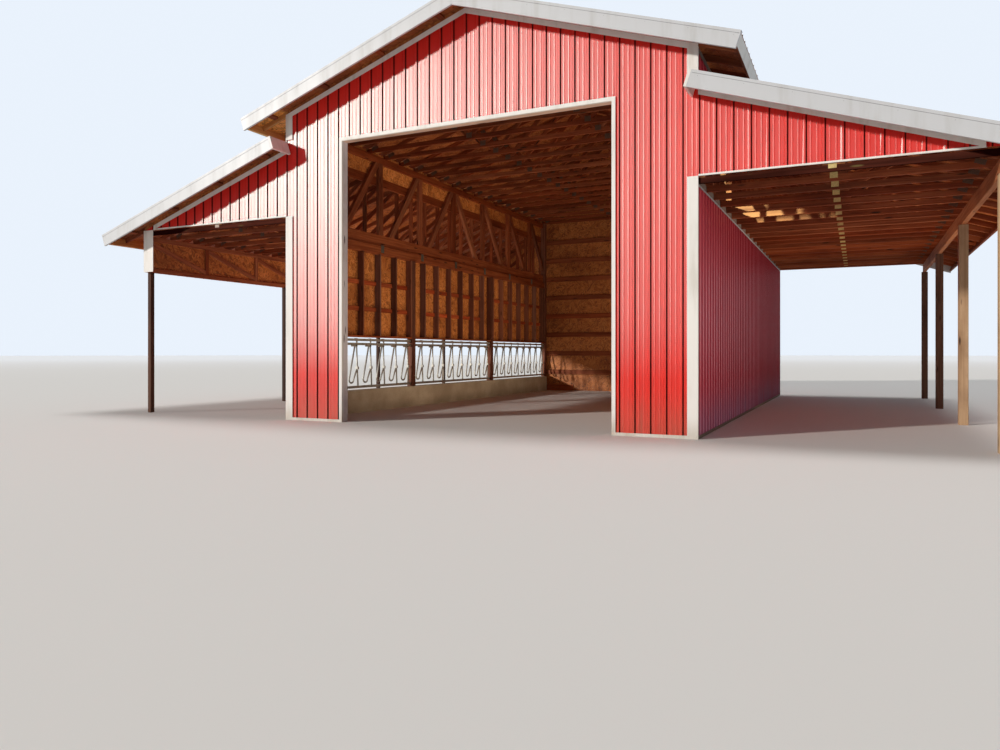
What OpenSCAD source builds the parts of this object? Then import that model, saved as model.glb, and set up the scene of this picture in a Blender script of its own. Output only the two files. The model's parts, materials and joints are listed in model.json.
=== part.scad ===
/* [Plan] */
// Width of the centre section over its siding
centre_w = 7315.2; // [6400:1:9000]
// Width of each side shed, from the centre wall to its outer edge
shed_w = 3657.6; // [3000:1:4800]
// Depth of the building over its front and rear siding
depth = 12192; // [9000:1:15000]
// Number of bays between the posts along each side
bays = 3; // [3:1:4]

/* [Roof] */
// Rise of the roofs for each 12 of run
pitch_rise = 4; // [3:0.25:5]
// Height over the doorway of the plates that carry the centre trusses
main_bearing = 504.2; // [400:0.1:900]
// Least height of those plates over the sheds' sheathing where it meets the centre walls
clerestory_h = 420; // [380:1:900]
// Depth below the shed panels' lower edge of the beams that carry the shed trusses
shed_bearing = 106.6; // [70:0.1:130]
// Height from the plates to the underside of the centre rafters over them
main_heel = 89; // [89:1:160]
// Height from the beams to the underside of the shed rafters over them
shed_heel = 84; // [60:1:120]
// How far the roofs reach past the front and rear walls
rake_overhang = 457; // [300:1:600]
// How far the roofs reach past the side walls and eave beams
eave_overhang = 640; // [450:1:760]
// Spacing of the trusses
truss_spacing = 609.6; // [500:1:900]
// Depth of the white face board along the sloping roof edges
rake_face = 235; // [200:1:260]
// Depth of the board along the eaves
eave_face = 160; // [140:1:190]
// Spacing of the boards that carry the sloping roof edges past the walls
lookout_spacing = 1219; // [900:1:1500]
// Distance of the first of those boards from the roof's upper end
lookout_first = 420; // [300:1:600]
// Distance of the shed trusses' lower joint from the centre wall, as a share of the shed's width
joint_share = 0.466; // [0.4:0.001:0.55]
// Distance of their upper joint outside the lower one, as a share of the shed's width
shoulder_share = 0.22; // [0.15:0.01:0.3]

/* [Openings] */
// Width of the front doorway
door_w = 4834.8; // [3600:1:5600]
// Height of the front doorway
door_h = 4876.8; // [3600:1:5000]
// Height of the front panels' lower edge over each shed
shed_panel_h = 3657.6; // [3400:1:4200]
// How far below them the siding of the side walls stops
side_drop = 22; // [10:1:60]
// Height of the boarded left wall's lower edge, over the feed opening
feed_top = 1524; // [1400:1:1900]
// Height of the concrete kerb
kerb_h = 450; // [300:1:600]
// Thickness of the concrete kerb
kerb_t = 231; // [180:1:300]

/* [Timber] */
// Thickness of a sawn board
board_t = 38; // [32:1:45]
// Depth of truss members
chord_d = 89; // [75:1:105]
// Depth of girts, plates and girder webs
girt_d = 140; // [120:1:160]
// Depth of the headers under the girders, and of the boards that carry the shed roofs along the walls
header_d = 184; // [150:1:190]
// Depth of the girders' lower chords
girder_chord_d = 235; // [190:1:250]
// Depth of the eave beam of the open shed
eave_beam_d = 216; // [180:1:240]
// Side of the main posts
post_d = 140; // [120:1:160]
// Side of the slender posts of the left shed
slim_post_d = 89; // [80:1:110]
// Height of the closed eave truss of the left shed
eave_truss_h = 726; // [600:1:800]
// Height of the girders' lower chords, to their top, over the shed trusses' seats
girder_sill = 162; // [120:1:190]
// Spacing of the girders' uprights
girder_bay = 1625.6; // [1500:1:1900]
// How far the foot of a girder diagonal lies from its upright
girder_reach = 1158; // [900:1:1250]
// Spacing of the wall studs
stud_spacing = 609.6; // [500:1:700]
// Height of the first girt's middle on the rear wall
girt_first = 594; // [500:1:700]
// Spacing of the girts
girt_spacing = 595; // [500:1:700]
// Height of the middle of the lower blocks between the studs
low_blocks_z = 2118; // [1800:1:2300]
// Height of the middle of the upper blocks between the studs
high_blocks_z = 2667; // [2500:1:2900]
// Thickness of the boards that line the doorway
jamb_t = 19; // [15:1:38]
// Distance of the slender end posts from the ends of the building
slim_inset = 91; // [40:1:150]

/* [Sheets] */
// Thickness of the wood sheathing
sheath_t = 11; // [9:1:15]
// Thickness of the ribbed steel
sheet_t = 1; // [0.8:0.1:2]
// Distance from rib to rib
rib_pitch = 228.6; // [200:1:300]
// Height of the main ribs
rib_h = 19; // [14:1:25]
// Height of the small ribs between them
small_rib_h = 4; // [2:0.5:6]
// Height of the front and rear panels' lower edge above the ground
panel_low = 20; // [5:1:60]
// Thickness of the white trim
trim_t = 2; // [1:0.5:4]
// Width of the corner trim on the front
corner_w = 150; // [100:1:200]
// Width of the corner trim on the side
corner_leg = 40; // [30:1:100]
// Width on the front of the trim folded round the left eave's ends
wrap_w = 263; // [150:1:350]
// Width on the side of the trim folded round the left eave's ends
wrap_leg = 150; // [60:1:250]
// Width of the trim round the doorway
door_trim_w = 58; // [40:1:100]
// How far that trim folds into the doorway
door_return = 38; // [20:1:100]
// Height of the trim along the tops of the side walls
side_trim_h = 79; // [40:1:100]
// Height of the narrow trim at the panel edges
edge_trim_h = 45; // [30:1:70]
// Width of the trim along the sloping top of the wall panels
rake_trim_w = 84; // [60:1:100]
// How far below the roof's top the wall panels stop, measured square to the slope
panel_drop = 103; // [85:1:120]
// Height of the white trim's face along the sloping roof edges
rake_trim_h = 115; // [80:1:180]
// How far that trim reaches over the roofing
rake_leg = 70; // [40:1:120]
// Width of each side of the ridge cap
ridge_leaf = 200; // [120:1:300]
// Width of the flashing between the shed roofs and the centre walls
flashing_w = 90; // [60:1:150]

/* [Feed front] */
// Headlocks in each bay
locks_per_bay = 8; // [6:1:9]
// Diameter of the bars
bar_d = 34; // [25:1:45]
// Side of the square rails
rail_d = 50; // [40:1:60]
// Height of the lower rail's middle
lower_rail_z = 510; // [500:1:600]
// Height of the upper rail's middle
upper_rail_z = 1470; // [1250:1:1490]
// Height of the latch rail's middle
latch_rail_z = 1385; // [1150:1:1400]
// How far each slanting bar leans
bar_lean = 230; // [120:1:260]

/* [Hidden] */

timber = "#9a6238";
panel_wood = "#c58b4a";
red = "#a3262a";
white = "#efeee8";
zinc = "#b9bec2";
concrete = "#a9a49b";

// Clearance between pieces that butt against each other
butt = 0.3;
// Gap between neighbouring sheets of sheathing
sheet_gap = 3;
// How far below the centre rafters' undersides the siding of the narrow walls over the sheds stops
strip_drop = 14;
// Half the gap between the roofing sheets at the ridge
ridge_gap = 30;
// Finished width of the ply girders and of the deeper headers
girder_t = 2 * board_t;
header_t = 3 * board_t;

half_w = centre_w / 2;
outer_x = half_w + shed_w;
half_d = depth / 2;
siding_t = rib_h + sheet_t;
slope = atan(pitch_rise / 12);

// Planes of the front and side walls, from the panels inward
sheath_y = half_d - siding_t;
frame_y = sheath_y - sheath_t;
sheath_x = half_w - siding_t;
frame_x = sheath_x - sheath_t;
post_y = frame_y - post_d;
post_x = frame_x - post_d;
panel_face_y = half_d + trim_t;

// Inner ends of the shed trusses, against the side walls' trim
shed_x = half_w + trim_t;

// Depths of the roof's layers, square to the slope, from the top of the trim
roofing_top = trim_t;
deck_top = roofing_top + rib_h + sheet_t;
deck_under = deck_top + sheath_t;
rafter_under = deck_under + chord_d;

// Heights of the beams under the shed trusses, and of the roof's top line carried on to the middle
shed_seat = shed_panel_h - shed_bearing;
shed_z0 = shed_seat + shed_heel + rafter_under / cos(slope) + outer_x * tan(slope);

// The same for the centre, whose plates clear the doorway and the shed roofs
strip_low = shed_z0 - frame_x * tan(slope) - deck_under / cos(slope);
main_seat = max(door_h + main_bearing, strip_low + clerestory_h);
main_z0 = main_seat + main_heel + rafter_under / cos(slope) + half_w * tan(slope);
main_end = (half_w + eave_overhang) / cos(slope);
shed_end = (outer_x + eave_overhang) / cos(slope);
tail_cut = board_t + trim_t + butt;
rake_y = half_d + rake_overhang;
fascia_y = rake_y - board_t;

truss_count = round(depth / truss_spacing) + 1;
truss_step = (2 * frame_y - board_t) / (truss_count - 1);
bay = depth / bays;

sill_top = shed_seat + girder_sill;
header_top = sill_top - girder_chord_d;
header_under = header_top - header_d;
side_top = shed_panel_h - side_drop;
strip_top = main_seat + main_heel - strip_drop;
jamb_x = door_w / 2 + trim_t + jamb_t;
jamb_z = door_h + trim_t + jamb_t;
eave_truss_low = shed_seat - eave_truss_h;

// A point at a slope distance s from the middle and a depth t under the roof's top
function on_roof(z0, s, t) = [s * cos(slope) - t * sin(slope), z0 - s * sin(slope) - t * cos(slope)];

// A point at a distance x from the middle and a depth t under the roof's top
function at_x(z0, x, t) = [x, z0 - x * tan(slope) - t / cos(slope)];

// The part of a convex outline behind the line through p whose outward normal is n
function clip(outline, p, n) = [
    for (i = [0:len(outline) - 1])
        let (
            a = outline[i],
            b = outline[(i + 1) % len(outline)],
            da = (a - p) * n,
            db = (b - p) * n
        )
        each concat(da <= 0 ? [a] : [], da * db < 0 ? [a + (b - a) * da / (da - db)] : [])
];

// A straight member of depth d whose middle line runs from p to q, and a little past both
function member(p, q, d) =
    let (u = (q - p) / norm(q - p), n = [-u[1], u[0]] * d / 2, e = u * d * 2)
    [p - e - n, q + e - n, q + e + n, p - e + n];

// Outline of one roof layer from a plumb cut at x to a square cut at s
function layer(z0, x, s, t0, t1) =
    [at_x(z0, x, t0), on_roof(z0, s, t0), on_roof(z0, s, t1), at_x(z0, x, t1)];

// Places along the building of the trusses, and of the posts that divide it into bays
function truss_y(i) = -frame_y + i * truss_step;
function bay_post_y(i) = -half_d + i * bay - post_d / 2;

// Half widths of a main rib at its top and foot, and of a small rib at its foot
major_top = 11;
major_foot = 30;
small_foot = 15;

// Bends of the ribbed sheet over one pitch from a main rib on, with the small ribs or without
function rib_bends(small) = concat(
    [[0, rib_h], [major_top, rib_h], [major_foot, 0]],
    [
        for (third = small ? [1, 2] : [], side = [-1, 0, 1])
            [third * rib_pitch / 3 + side * small_foot, side == 0 ? small_rib_h : 0]
    ],
    [[rib_pitch - major_foot, 0], [rib_pitch - major_top, rib_h], [rib_pitch, rib_h]]
);

// Outer face of the sheet between two distances, with a corner at each bend
function rib_line(u0, u1, small) =
    let (
        bends = rib_bends(small),
        end = function (u) [u, lookup(u - rib_pitch * floor(u / rib_pitch), bends)]
    )
    concat(
        [end(u0)],
        [
            for (k = [floor(u0 / rib_pitch):floor(u1 / rib_pitch)], i = [1:len(bends) - 2])
                let (u = k * rib_pitch + bends[i][0])
                if (u > u0 + butt && u < u1 - butt) [u, bends[i][1]]
        ],
        [end(u1)]
    );

function reversed(list) = [for (i = [len(list) - 1:-1:0]) list[i]];

// Section of the ribbed sheet, its pans' backs on the zero line and its ribs upward
function sheet_section(u0, u1, small = true) = let (line = rib_line(u0, u1, small)) concat(
    [for (p = line) [p[0], p[1] + sheet_t]],
    reversed(line)
);

// A plate with an outline in X and Z, from y to y + t
module plate_xz(outline, y, t) {
    translate([0, y + t, 0])
        rotate([90, 0, 0])
            linear_extrude(t)
                polygon(outline);
}

// A plate with an outline in Y and Z, from x to x + t
module plate_yz(outline, x, t) {
    translate([x, 0, 0])
        rotate([90, 0, 90])
            linear_extrude(t)
                polygon(outline);
}

// A straight block between two corners
module block(low, high) {
    translate(low)
        cube(high - low);
}

// Its children, and again on the left side
module both_sides() {
    children();
    mirror([1, 0, 0])
        children();
}

// Its children, and again at the rear
module both_ends() {
    children();
    mirror([0, 1, 0])
        children();
}

// Ribbed sheet standing in a front wall, ribs toward the front, between two widths and heights
module front_sheet(x0, x1, z0, z1) {
    translate([0, -sheath_y, z0])
        mirror([0, 1, 0])
            linear_extrude(z1 - z0)
                polygon(sheet_section(x0, x1));
}

// Ribbed sheet standing in a side wall whose backs lie at x, ribs toward the right
module side_sheet(x, y0, y1, z0, z1, small = true) {
    translate([x, 0, z0])
        rotate([0, 0, -90])
            mirror([1, 0, 0])
                linear_extrude(z1 - z0)
                    polygon(sheet_section(y0, y1, small));
}

// Outline of a front wall panel under the centre roof, from x0 to x1
function under_main(x0, x1, low, drop) = concat(
    [[x0, low], [x1, low], at_x(main_z0, x1, drop)],
    x0 < 0 && x1 > 0 ? [at_x(main_z0, 0, drop)] : [],
    [x0 < 0 ? [x0, at_x(main_z0, -x0, drop)[1]] : at_x(main_z0, x0, drop)]
);

// Outline of a front wall panel under a shed roof, to where it runs out
function under_shed(x0, x1, low, drop) =
    let (run_out = (shed_z0 - drop / cos(slope) - low) / tan(slope))
    run_out < x1
        ? [[x0, low], [run_out, low], at_x(shed_z0, x0, drop)]
        : [[x0, low], [x1, low], at_x(shed_z0, x1, drop), at_x(shed_z0, x0, drop)];

module feed_kerb() {
    color(concrete)
        block([-half_w, -post_y, 0], [kerb_t - half_w, post_y, kerb_h]);
}

// Clear width between two neighbouring posts of the side wall, as its near and far edges
function bay_low(i) = i == 0 ? -post_y : bay_post_y(i) + post_d;
function bay_high(i) = i == bays - 1 ? post_y : bay_post_y(i + 1);

module headlock_rails() {
    rail_x = post_x + (post_d - rail_d) / 2;
    color(zinc)
        for (i = [0:bays - 1], z = [lower_rail_z, latch_rail_z, upper_rail_z])
            block(
                [-rail_x - rail_d, bay_low(i), z - rail_d / 2],
                [-rail_x, bay_high(i), z + rail_d / 2]
            );
}

// One bar between the lower rail and the latch rail, from its foot to its head
module lock_bar(foot_y, head_y) {
    low = lower_rail_z + rail_d / 2;
    high = latch_rail_z - rail_d / 2;
    lean = atan((head_y - foot_y) / (high - low));
    intersection() {
        translate([-post_x - post_d / 2, foot_y, low])
            rotate([-lean, 0, 0])
                translate([0, 0, -bar_d])
                    cylinder(d = bar_d, h = (high - low) / cos(lean) + 2 * bar_d, $fn = 32);
        block(
            [-frame_x, min(foot_y, head_y) - 2 * bar_d, low],
            [-post_x, max(foot_y, head_y) + 2 * bar_d, high]
        );
    }
}

module headlock_bars() {
    color(zinc)
        for (i = [0:bays - 1]) {
            step = (bay_high(i) - bay_low(i)) / locks_per_bay;
            for (k = [0:locks_per_bay - 1]) {
                middle = bay_low(i) + (k + 0.5) * step;
                lock_bar(middle - bar_lean / 2, middle + bar_lean / 2 - bar_d);
                lock_bar(middle + bar_lean / 2 + 2 * bar_d, middle + bar_lean / 2 + bar_d / 2);
            }
        }
}

module wall_posts() {
    color(timber) {
        both_sides()
            both_ends()
                block([post_x, -frame_y, 0], [frame_x, -post_y, main_seat]);
        both_sides()
            block([jamb_x, -frame_y, 0], [jamb_x + post_d, -post_y, main_seat]);
        for (i = [1:bays - 1]) {
            block([post_x, bay_post_y(i), 0], [frame_x, bay_post_y(i) + post_d, header_under]);
            block([-frame_x, bay_post_y(i), kerb_h], [-post_x, bay_post_y(i) + post_d, header_under]);
        }
    }
}

// Near edge of an eave post, kept within the building's depth
function eave_post_y(i, d) = min(max(-half_d + i * bay - d / 2, -half_d), half_d - d);

module eave_posts() {
    color(timber)
        for (i = [0:bays]) {
            y = eave_post_y(i, post_d);
            block([outer_x - post_d, y, 0], [outer_x, y + post_d, shed_seat - eave_beam_d]);
            slim_y = min(
                max(eave_post_y(i, slim_post_d), slim_inset - half_d),
                half_d - slim_inset - slim_post_d
            );
            block([-outer_x, slim_y, 0], [slim_post_d - outer_x, slim_y + slim_post_d, eave_truss_low]);
        }
}

module right_eave_beam() {
    beam_x = outer_x - (post_d + girder_t) / 2;
    color(timber)
        block([beam_x, -half_d, shed_seat - eave_beam_d], [beam_x + girder_t, half_d, shed_seat]);
}

module left_eave_truss() {
    x = siding_t + sheath_t - outer_x;
    low = eave_truss_low + chord_d;
    high = shed_seat - chord_d;
    uprights = 2 * round(half_d / girder_bay);
    step = (2 * sheath_y - chord_d) / uprights;
    color(timber) {
        for (z = [eave_truss_low, high])
            block([x, -sheath_y, z], [x + board_t, sheath_y, z + chord_d]);
        for (i = [0:uprights])
            block(
                [x, -sheath_y + i * step, low + butt],
                [x + board_t, -sheath_y + i * step + chord_d, high - butt]
            );
        both_ends()
            for (i = [0:uprights / 2 - 1]) {
                near = -sheath_y + i * step + chord_d;
                far = -sheath_y + (i + 1) * step;
                diagonal = member([near, high - chord_d / 2], [far, low + chord_d / 2], chord_d);
                plate_yz(
                    clip(clip(clip(clip(diagonal, [0, high - butt], [0, 1]), [0, low + butt], [0, -1]),
                        [far - butt, 0], [1, 0]), [near + butt, 0], [-1, 0]),
                    x, board_t
                );
            }
    }
}

module side_headers() {
    ledger_low = strip_low - header_d;
    color(timber)
        both_sides() {
            block([frame_x - header_t, -post_y, header_under], [frame_x, post_y, header_top]);
            plate_xz(
                [
                    [frame_x, ledger_low], [shed_x, ledger_low],
                    at_x(shed_z0, shed_x, deck_under), at_x(shed_z0, frame_x, deck_under)
                ],
                -frame_y, 2 * frame_y
            );
        }
}

module girder_chords() {
    color(timber)
        both_sides() {
            block([frame_x - girder_t, -post_y, header_top], [frame_x, post_y, sill_top]);
            block([frame_x - girder_t, -post_y, main_seat - girt_d], [frame_x, post_y, main_seat]);
        }
}

module girder_webs() {
    low = sill_top;
    high = main_seat - girt_d;
    x = frame_x - girder_t;
    uprights = floor((post_y - girt_d) / girder_bay);
    color(timber)
        both_sides() {
            for (i = [-uprights:uprights])
                block(
                    [x, i * girder_bay - girt_d / 2, low],
                    [x + girder_t, i * girder_bay + girt_d / 2, high]
                );
            both_ends()
                for (i = [-uprights:0]) {
                    head = i * girder_bay - girt_d / 2 - butt;
                    brace = member([head - girder_reach, low], [head - chord_d / 2, high], girt_d);
                    end = i == -uprights ? -post_y + butt : head - girder_bay + girt_d + 2 * butt;
                    plate_yz(
                        clip(clip(clip(clip(brace, [0, high], [0, 1]), [0, low], [0, -1]),
                            [head, 0], [1, 0]), [end, 0], [-1, 0]),
                        x, girder_t
                    );
                }
        }
}

module wall_sills() {
    color(timber) {
        both_ends()
            both_sides()
                block([jamb_x + post_d, -frame_y, 0], [post_x, -frame_y + board_t, header_d]);
        for (i = [0:bays - 1]) {
            block([post_x, bay_low(i), 0], [frame_x, bay_high(i), board_t]);
            block([-frame_x, bay_low(i), feed_top], [-post_x, bay_high(i), feed_top + board_t]);
        }
    }
}

studs = round(depth / stud_spacing);

// Near edge of a wall stud
function stud_y(i) = -half_d + (i + 0.5) * depth / studs - board_t / 2;

// Whether a stretch of wall from a to b is clear of the posts
function clear_of_posts(a, b) = len([
    for (i = [1:bays - 1])
        if (b > bay_post_y(i) - butt && a < bay_post_y(i) + post_d + butt) i
]) == 0;

module wall_studs() {
    color(timber)
        for (i = [0:studs - 1])
            if (clear_of_posts(stud_y(i), stud_y(i) + board_t)
                && abs(stud_y(i) + board_t / 2) < post_y - board_t) {
                block([post_x, stud_y(i), board_t], [frame_x, stud_y(i) + board_t, header_under]);
                block(
                    [-frame_x, stud_y(i), feed_top + board_t],
                    [-post_x, stud_y(i) + board_t, header_under]
                );
            }
}

module wall_blocking() {
    color(timber)
        for (i = [0:studs - 2], z = [low_blocks_z, high_blocks_z]) {
            near = stud_y(i) + board_t;
            far = stud_y(i + 1);
            if (clear_of_posts(near, far))
                both_sides()
                    block([frame_x - board_t, near, z - chord_d / 2], [frame_x, far, z + chord_d / 2]);
        }
}

module wall_girts() {
    rows = floor((main_seat - girt_d - girt_first) / girt_spacing);
    color(timber)
        for (i = [0:rows]) {
            z = girt_first + i * girt_spacing;
            block([-post_x, frame_y - board_t, z - girt_d / 2], [post_x, frame_y, z + girt_d / 2]);
            both_sides()
                block(
                    [jamb_x + post_d, -frame_y, z - girt_d / 2],
                    [post_x, -frame_y + board_t, z + girt_d / 2]
                );
        }
}

module door_header() {
    lining_x = jamb_x - jamb_t;
    lining_z = jamb_z - jamb_t;
    color(timber) {
        block([-jamb_x, -frame_y, jamb_z], [jamb_x, -frame_y + girder_t, jamb_z + eave_beam_d]);
        block([-jamb_x, -half_d, lining_z], [jamb_x, -post_y, jamb_z - butt]);
        both_sides()
            block([lining_x, -half_d, 0], [jamb_x, -post_y, lining_z - butt]);
    }
}

module gable_sheathing() {
    color(panel_wood) {
        both_sides() {
            plate_xz(under_main(jamb_x, sheath_x, 0, deck_under), -sheath_y, sheath_t);
            both_ends()
                plate_xz(
                    under_shed(sheath_x + sheet_gap, outer_x, shed_panel_h, deck_under),
                    -sheath_y, sheath_t
                );
        }
        plate_xz(
            under_main(sheet_gap - jamb_x, jamb_x - sheet_gap, jamb_z, deck_under),
            -sheath_y, sheath_t
        );
        plate_xz(under_main(-sheath_x, sheath_x, 0, deck_under), frame_y, sheath_t);
    }
}

module side_sheathing() {
    color(panel_wood) {
        block([frame_x, -frame_y, 0], [sheath_x, frame_y, side_top]);
        block([-sheath_x, -frame_y, feed_top], [-frame_x, frame_y, side_top]);
        both_sides()
            block([frame_x, -frame_y, strip_low], [sheath_x, frame_y, strip_top]);
        block(
            [siding_t - outer_x, -half_d, eave_truss_low],
            [siding_t + sheath_t - outer_x, half_d, shed_seat]
        );
    }
}

module front_siding() {
    color(red)
        for (side = [-1, 1])
            intersection() {
                front_sheet(
                    side < 0 ? -half_w : jamb_x,
                    side < 0 ? -jamb_x : half_w,
                    panel_low, main_z0
                );
                mirror([side < 0 ? 1 : 0, 0, 0])
                    plate_xz(under_main(0, half_w, 0, panel_drop), -half_d - siding_t, 3 * siding_t);
            }
}

module front_siding_over_door() {
    color(red)
        intersection() {
            front_sheet(butt - jamb_x, jamb_x - butt, jamb_z, main_z0);
            plate_xz(under_main(-half_w, half_w, 0, panel_drop), -half_d - siding_t, 3 * siding_t);
        }
}

module rear_siding() {
    color(red)
        mirror([0, 1, 0])
            intersection() {
                front_sheet(-half_w, half_w, panel_low, main_z0);
                plate_xz(under_main(-half_w, half_w, 0, panel_drop), -half_d - siding_t, 3 * siding_t);
            }
}

module shed_gable_siding() {
    start = half_w + butt;
    color(red)
        both_sides()
            both_ends()
                intersection() {
                    front_sheet(start, outer_x, shed_panel_h, shed_z0);
                    plate_xz(
                        under_shed(start, outer_x, shed_panel_h, panel_drop),
                        -half_d - siding_t, 3 * siding_t
                    );
                }
}

module side_siding() {
    color(red) {
        side_sheet(sheath_x, -sheath_y, sheath_y, panel_low, side_top);
        mirror([1, 0, 0])
            side_sheet(sheath_x, -sheath_y, sheath_y, feed_top, side_top);
        both_sides()
            side_sheet(sheath_x, -sheath_y, sheath_y, strip_low, strip_top, false);
        mirror([1, 0, 0])
            side_sheet(outer_x - siding_t, -half_d, half_d, eave_truss_low, shed_seat, false);
    }
}

module main_rafters_right() {
    color(timber)
        for (i = [0:truss_count - 1])
            plate_xz(layer(main_z0, 0, main_end - tail_cut, deck_under, rafter_under), truss_y(i), board_t);
}

module main_rafters_left() {
    mirror([1, 0, 0])
        main_rafters_right();
}

// Outline of a truss's lower chord, cut back under the rafter at its outer end
function tie(z0, x0, x1, z) = clip(
    [[x0, z], [x1, z], [x1, z + chord_d], [x0, z + chord_d]],
    at_x(z0, x1, rafter_under), [sin(slope), cos(slope)]
);

module main_ties() {
    half_tie = tie(main_z0, 0, frame_x, main_seat);
    color(timber)
        for (i = [0:truss_count - 1])
            plate_xz(
                concat(
                    [for (p = half_tie) if (p[0] > 0) p],
                    reversed([for (p = half_tie) if (p[0] > 0) [-p[0], p[1]]])
                ),
                truss_y(i), board_t
            );
}

// A web cut off by the rafter above it, the tie below it and plumb lines at its ends
function web(z0, p, q, tie_z, x_low, x_high) =
    clip(clip(clip(clip(member(p, q, chord_d), at_x(z0, 0, rafter_under), [sin(slope), cos(slope)]),
        [0, tie_z + chord_d], [0, -1]), [x_low, 0], [-1, 0]), [x_high, 0], [1, 0]);

module main_webs() {
    third = half_w / 3;
    foot = [third, main_seat + chord_d];
    apex = at_x(main_z0, chord_d / 2, rafter_under);
    shoulder = at_x(main_z0, half_w / 2, rafter_under);
    color(timber)
        both_sides()
            for (i = [0:truss_count - 1]) {
                plate_xz(
                    web(main_z0, foot - [chord_d / 2, 0], apex, main_seat, butt, third - butt),
                    truss_y(i), board_t
                );
                plate_xz(
                    web(main_z0, foot + [chord_d / 2, 0], shoulder, main_seat, third + butt, half_w),
                    truss_y(i), board_t
                );
            }
}

module shed_rafters() {
    color(timber)
        both_sides()
            for (i = [0:truss_count - 1])
                plate_xz(
                    layer(shed_z0, shed_x, shed_end - tail_cut, deck_under, rafter_under),
                    truss_y(i), board_t
                );
}

module shed_ties() {
    color(timber)
        both_sides()
            for (i = [0:truss_count - 1])
                plate_xz(tie(shed_z0, shed_x, outer_x, shed_seat), truss_y(i), board_t);
}

module shed_webs() {
    low = shed_seat + chord_d;
    joint_x = half_w + shed_w * joint_share;
    foot = [joint_x, low];
    inner = shed_x + chord_d;
    head = at_x(shed_z0, inner + chord_d / 2, rafter_under);
    shoulder = at_x(shed_z0, joint_x + shed_w * shoulder_share, rafter_under);
    color(timber)
        both_sides()
            for (i = [0:truss_count - 1]) {
                plate_xz(
                    [[shed_x, low], [inner, low], at_x(shed_z0, inner, rafter_under),
                        at_x(shed_z0, shed_x, rafter_under)],
                    truss_y(i), board_t
                );
                plate_xz(
                    web(shed_z0, foot - [chord_d / 2, 0], head, shed_seat, inner + butt,
                        joint_x - butt),
                    truss_y(i), board_t
                );
                plate_xz(
                    web(shed_z0, foot + [chord_d / 2, 0], shoulder, shed_seat, joint_x + butt, outer_x),
                    truss_y(i), board_t
                );
            }
}

module main_deck_right() {
    color(panel_wood)
        plate_xz(layer(main_z0, 0, main_end - butt, deck_top, deck_under), -fascia_y, 2 * fascia_y);
}

module main_deck_left() {
    mirror([1, 0, 0])
        main_deck_right();
}

module shed_decks() {
    color(panel_wood)
        both_sides()
            plate_xz(
                layer(shed_z0, half_w, shed_end - butt, deck_top, deck_under),
                -fascia_y, 2 * fascia_y
            );
}

// Ribbed roofing from the slope distance s0 to s1, its pans on the deck
module roof_sheet(z0, s0, s1) {
    color(zinc)
        translate([0, 0, z0])
            rotate([0, slope, 0])
                translate([s0, 0, -deck_top])
                    rotate([90, 0, 90])
                        linear_extrude(s1 - s0)
                            polygon(sheet_section(-rake_y, rake_y, false));
}

module main_roofing() {
    both_sides()
        roof_sheet(main_z0, ridge_gap, main_end);
}

module shed_roofing() {
    both_sides()
        roof_sheet(shed_z0, (half_w + deck_top * sin(slope)) / cos(slope), shed_end);
}

module ridge_cap() {
    right = [on_roof(main_z0, ridge_leaf, 0), on_roof(main_z0, ridge_leaf, trim_t)];
    color(zinc)
        plate_xz(
            [
                at_x(main_z0, 0, 0), right[0], right[1], at_x(main_z0, 0, trim_t),
                [-right[1][0], right[1][1]], [-right[0][0], right[0][1]]
            ],
            -fascia_y + rake_leg, 2 * (fascia_y - rake_leg)
        );
}

// Outlines of a board along each sloping roof edge, from the peak and from the shed's upper end
function main_rake(t0, t1) = layer(main_z0, butt, main_end, t0, t1);
function shed_rake(t0, t1) = let (s = half_w / cos(slope)) [
    on_roof(shed_z0, s, t0), on_roof(shed_z0, shed_end, t0),
    on_roof(shed_z0, shed_end, t1), on_roof(shed_z0, s, t1)
];

module rake_fascias() {
    color(white)
        both_sides()
            both_ends()
                for (outline = [main_rake(deck_top, rake_face), shed_rake(deck_top, rake_face)])
                    plate_xz(outline, -rake_y, board_t);
}

module rake_trims() {
    color(white)
        both_sides()
            both_ends() {
                plate_xz(main_rake(0, rake_trim_h), -rake_y - trim_t, trim_t);
                plate_xz(main_rake(0, trim_t), -rake_y, board_t + rake_leg);
                plate_xz(shed_rake(0, rake_trim_h), -rake_y - trim_t, trim_t);
                plate_xz(shed_rake(0, trim_t), -rake_y, board_t + rake_leg);
            }
}

// Board or sheet along the lower ends of all four roofs, between two distances from their ends
module along_eaves(near, far) {
    both_sides()
        for (roof = [[main_z0, main_end], [shed_z0, shed_end]])
            plate_xz(
                [
                    on_roof(roof[0], roof[1] - far, deck_under),
                    on_roof(roof[0], roof[1] - near, deck_under),
                    on_roof(roof[0], roof[1] - near, deck_under + eave_face),
                    on_roof(roof[0], roof[1] - far, deck_under + eave_face)
                ],
                -fascia_y, 2 * fascia_y
            );
}

module eave_fascias() {
    color(timber)
        along_eaves(trim_t, trim_t + board_t);
}

module eave_trims() {
    color(white)
        along_eaves(0, trim_t);
}

module rake_lookouts() {
    shed_start = half_w / cos(slope);
    color(timber)
        both_sides()
            both_ends() {
                for (s = [lookout_first:lookout_spacing:main_end - chord_d - tail_cut])
                    lookout(main_z0, s);
                for (s = [shed_start + lookout_first:lookout_spacing:shed_end - chord_d - tail_cut])
                    lookout(shed_z0, s);
            }
}

// A flat board under the deck, from the wall out to the rake board
module lookout(z0, s) {
    plate_xz(
        [
            on_roof(z0, s, deck_under), on_roof(z0, s + chord_d, deck_under),
            on_roof(z0, s + chord_d, deck_under + board_t), on_roof(z0, s, deck_under + board_t)
        ],
        -fascia_y, fascia_y - sheath_y
    );
}

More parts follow.
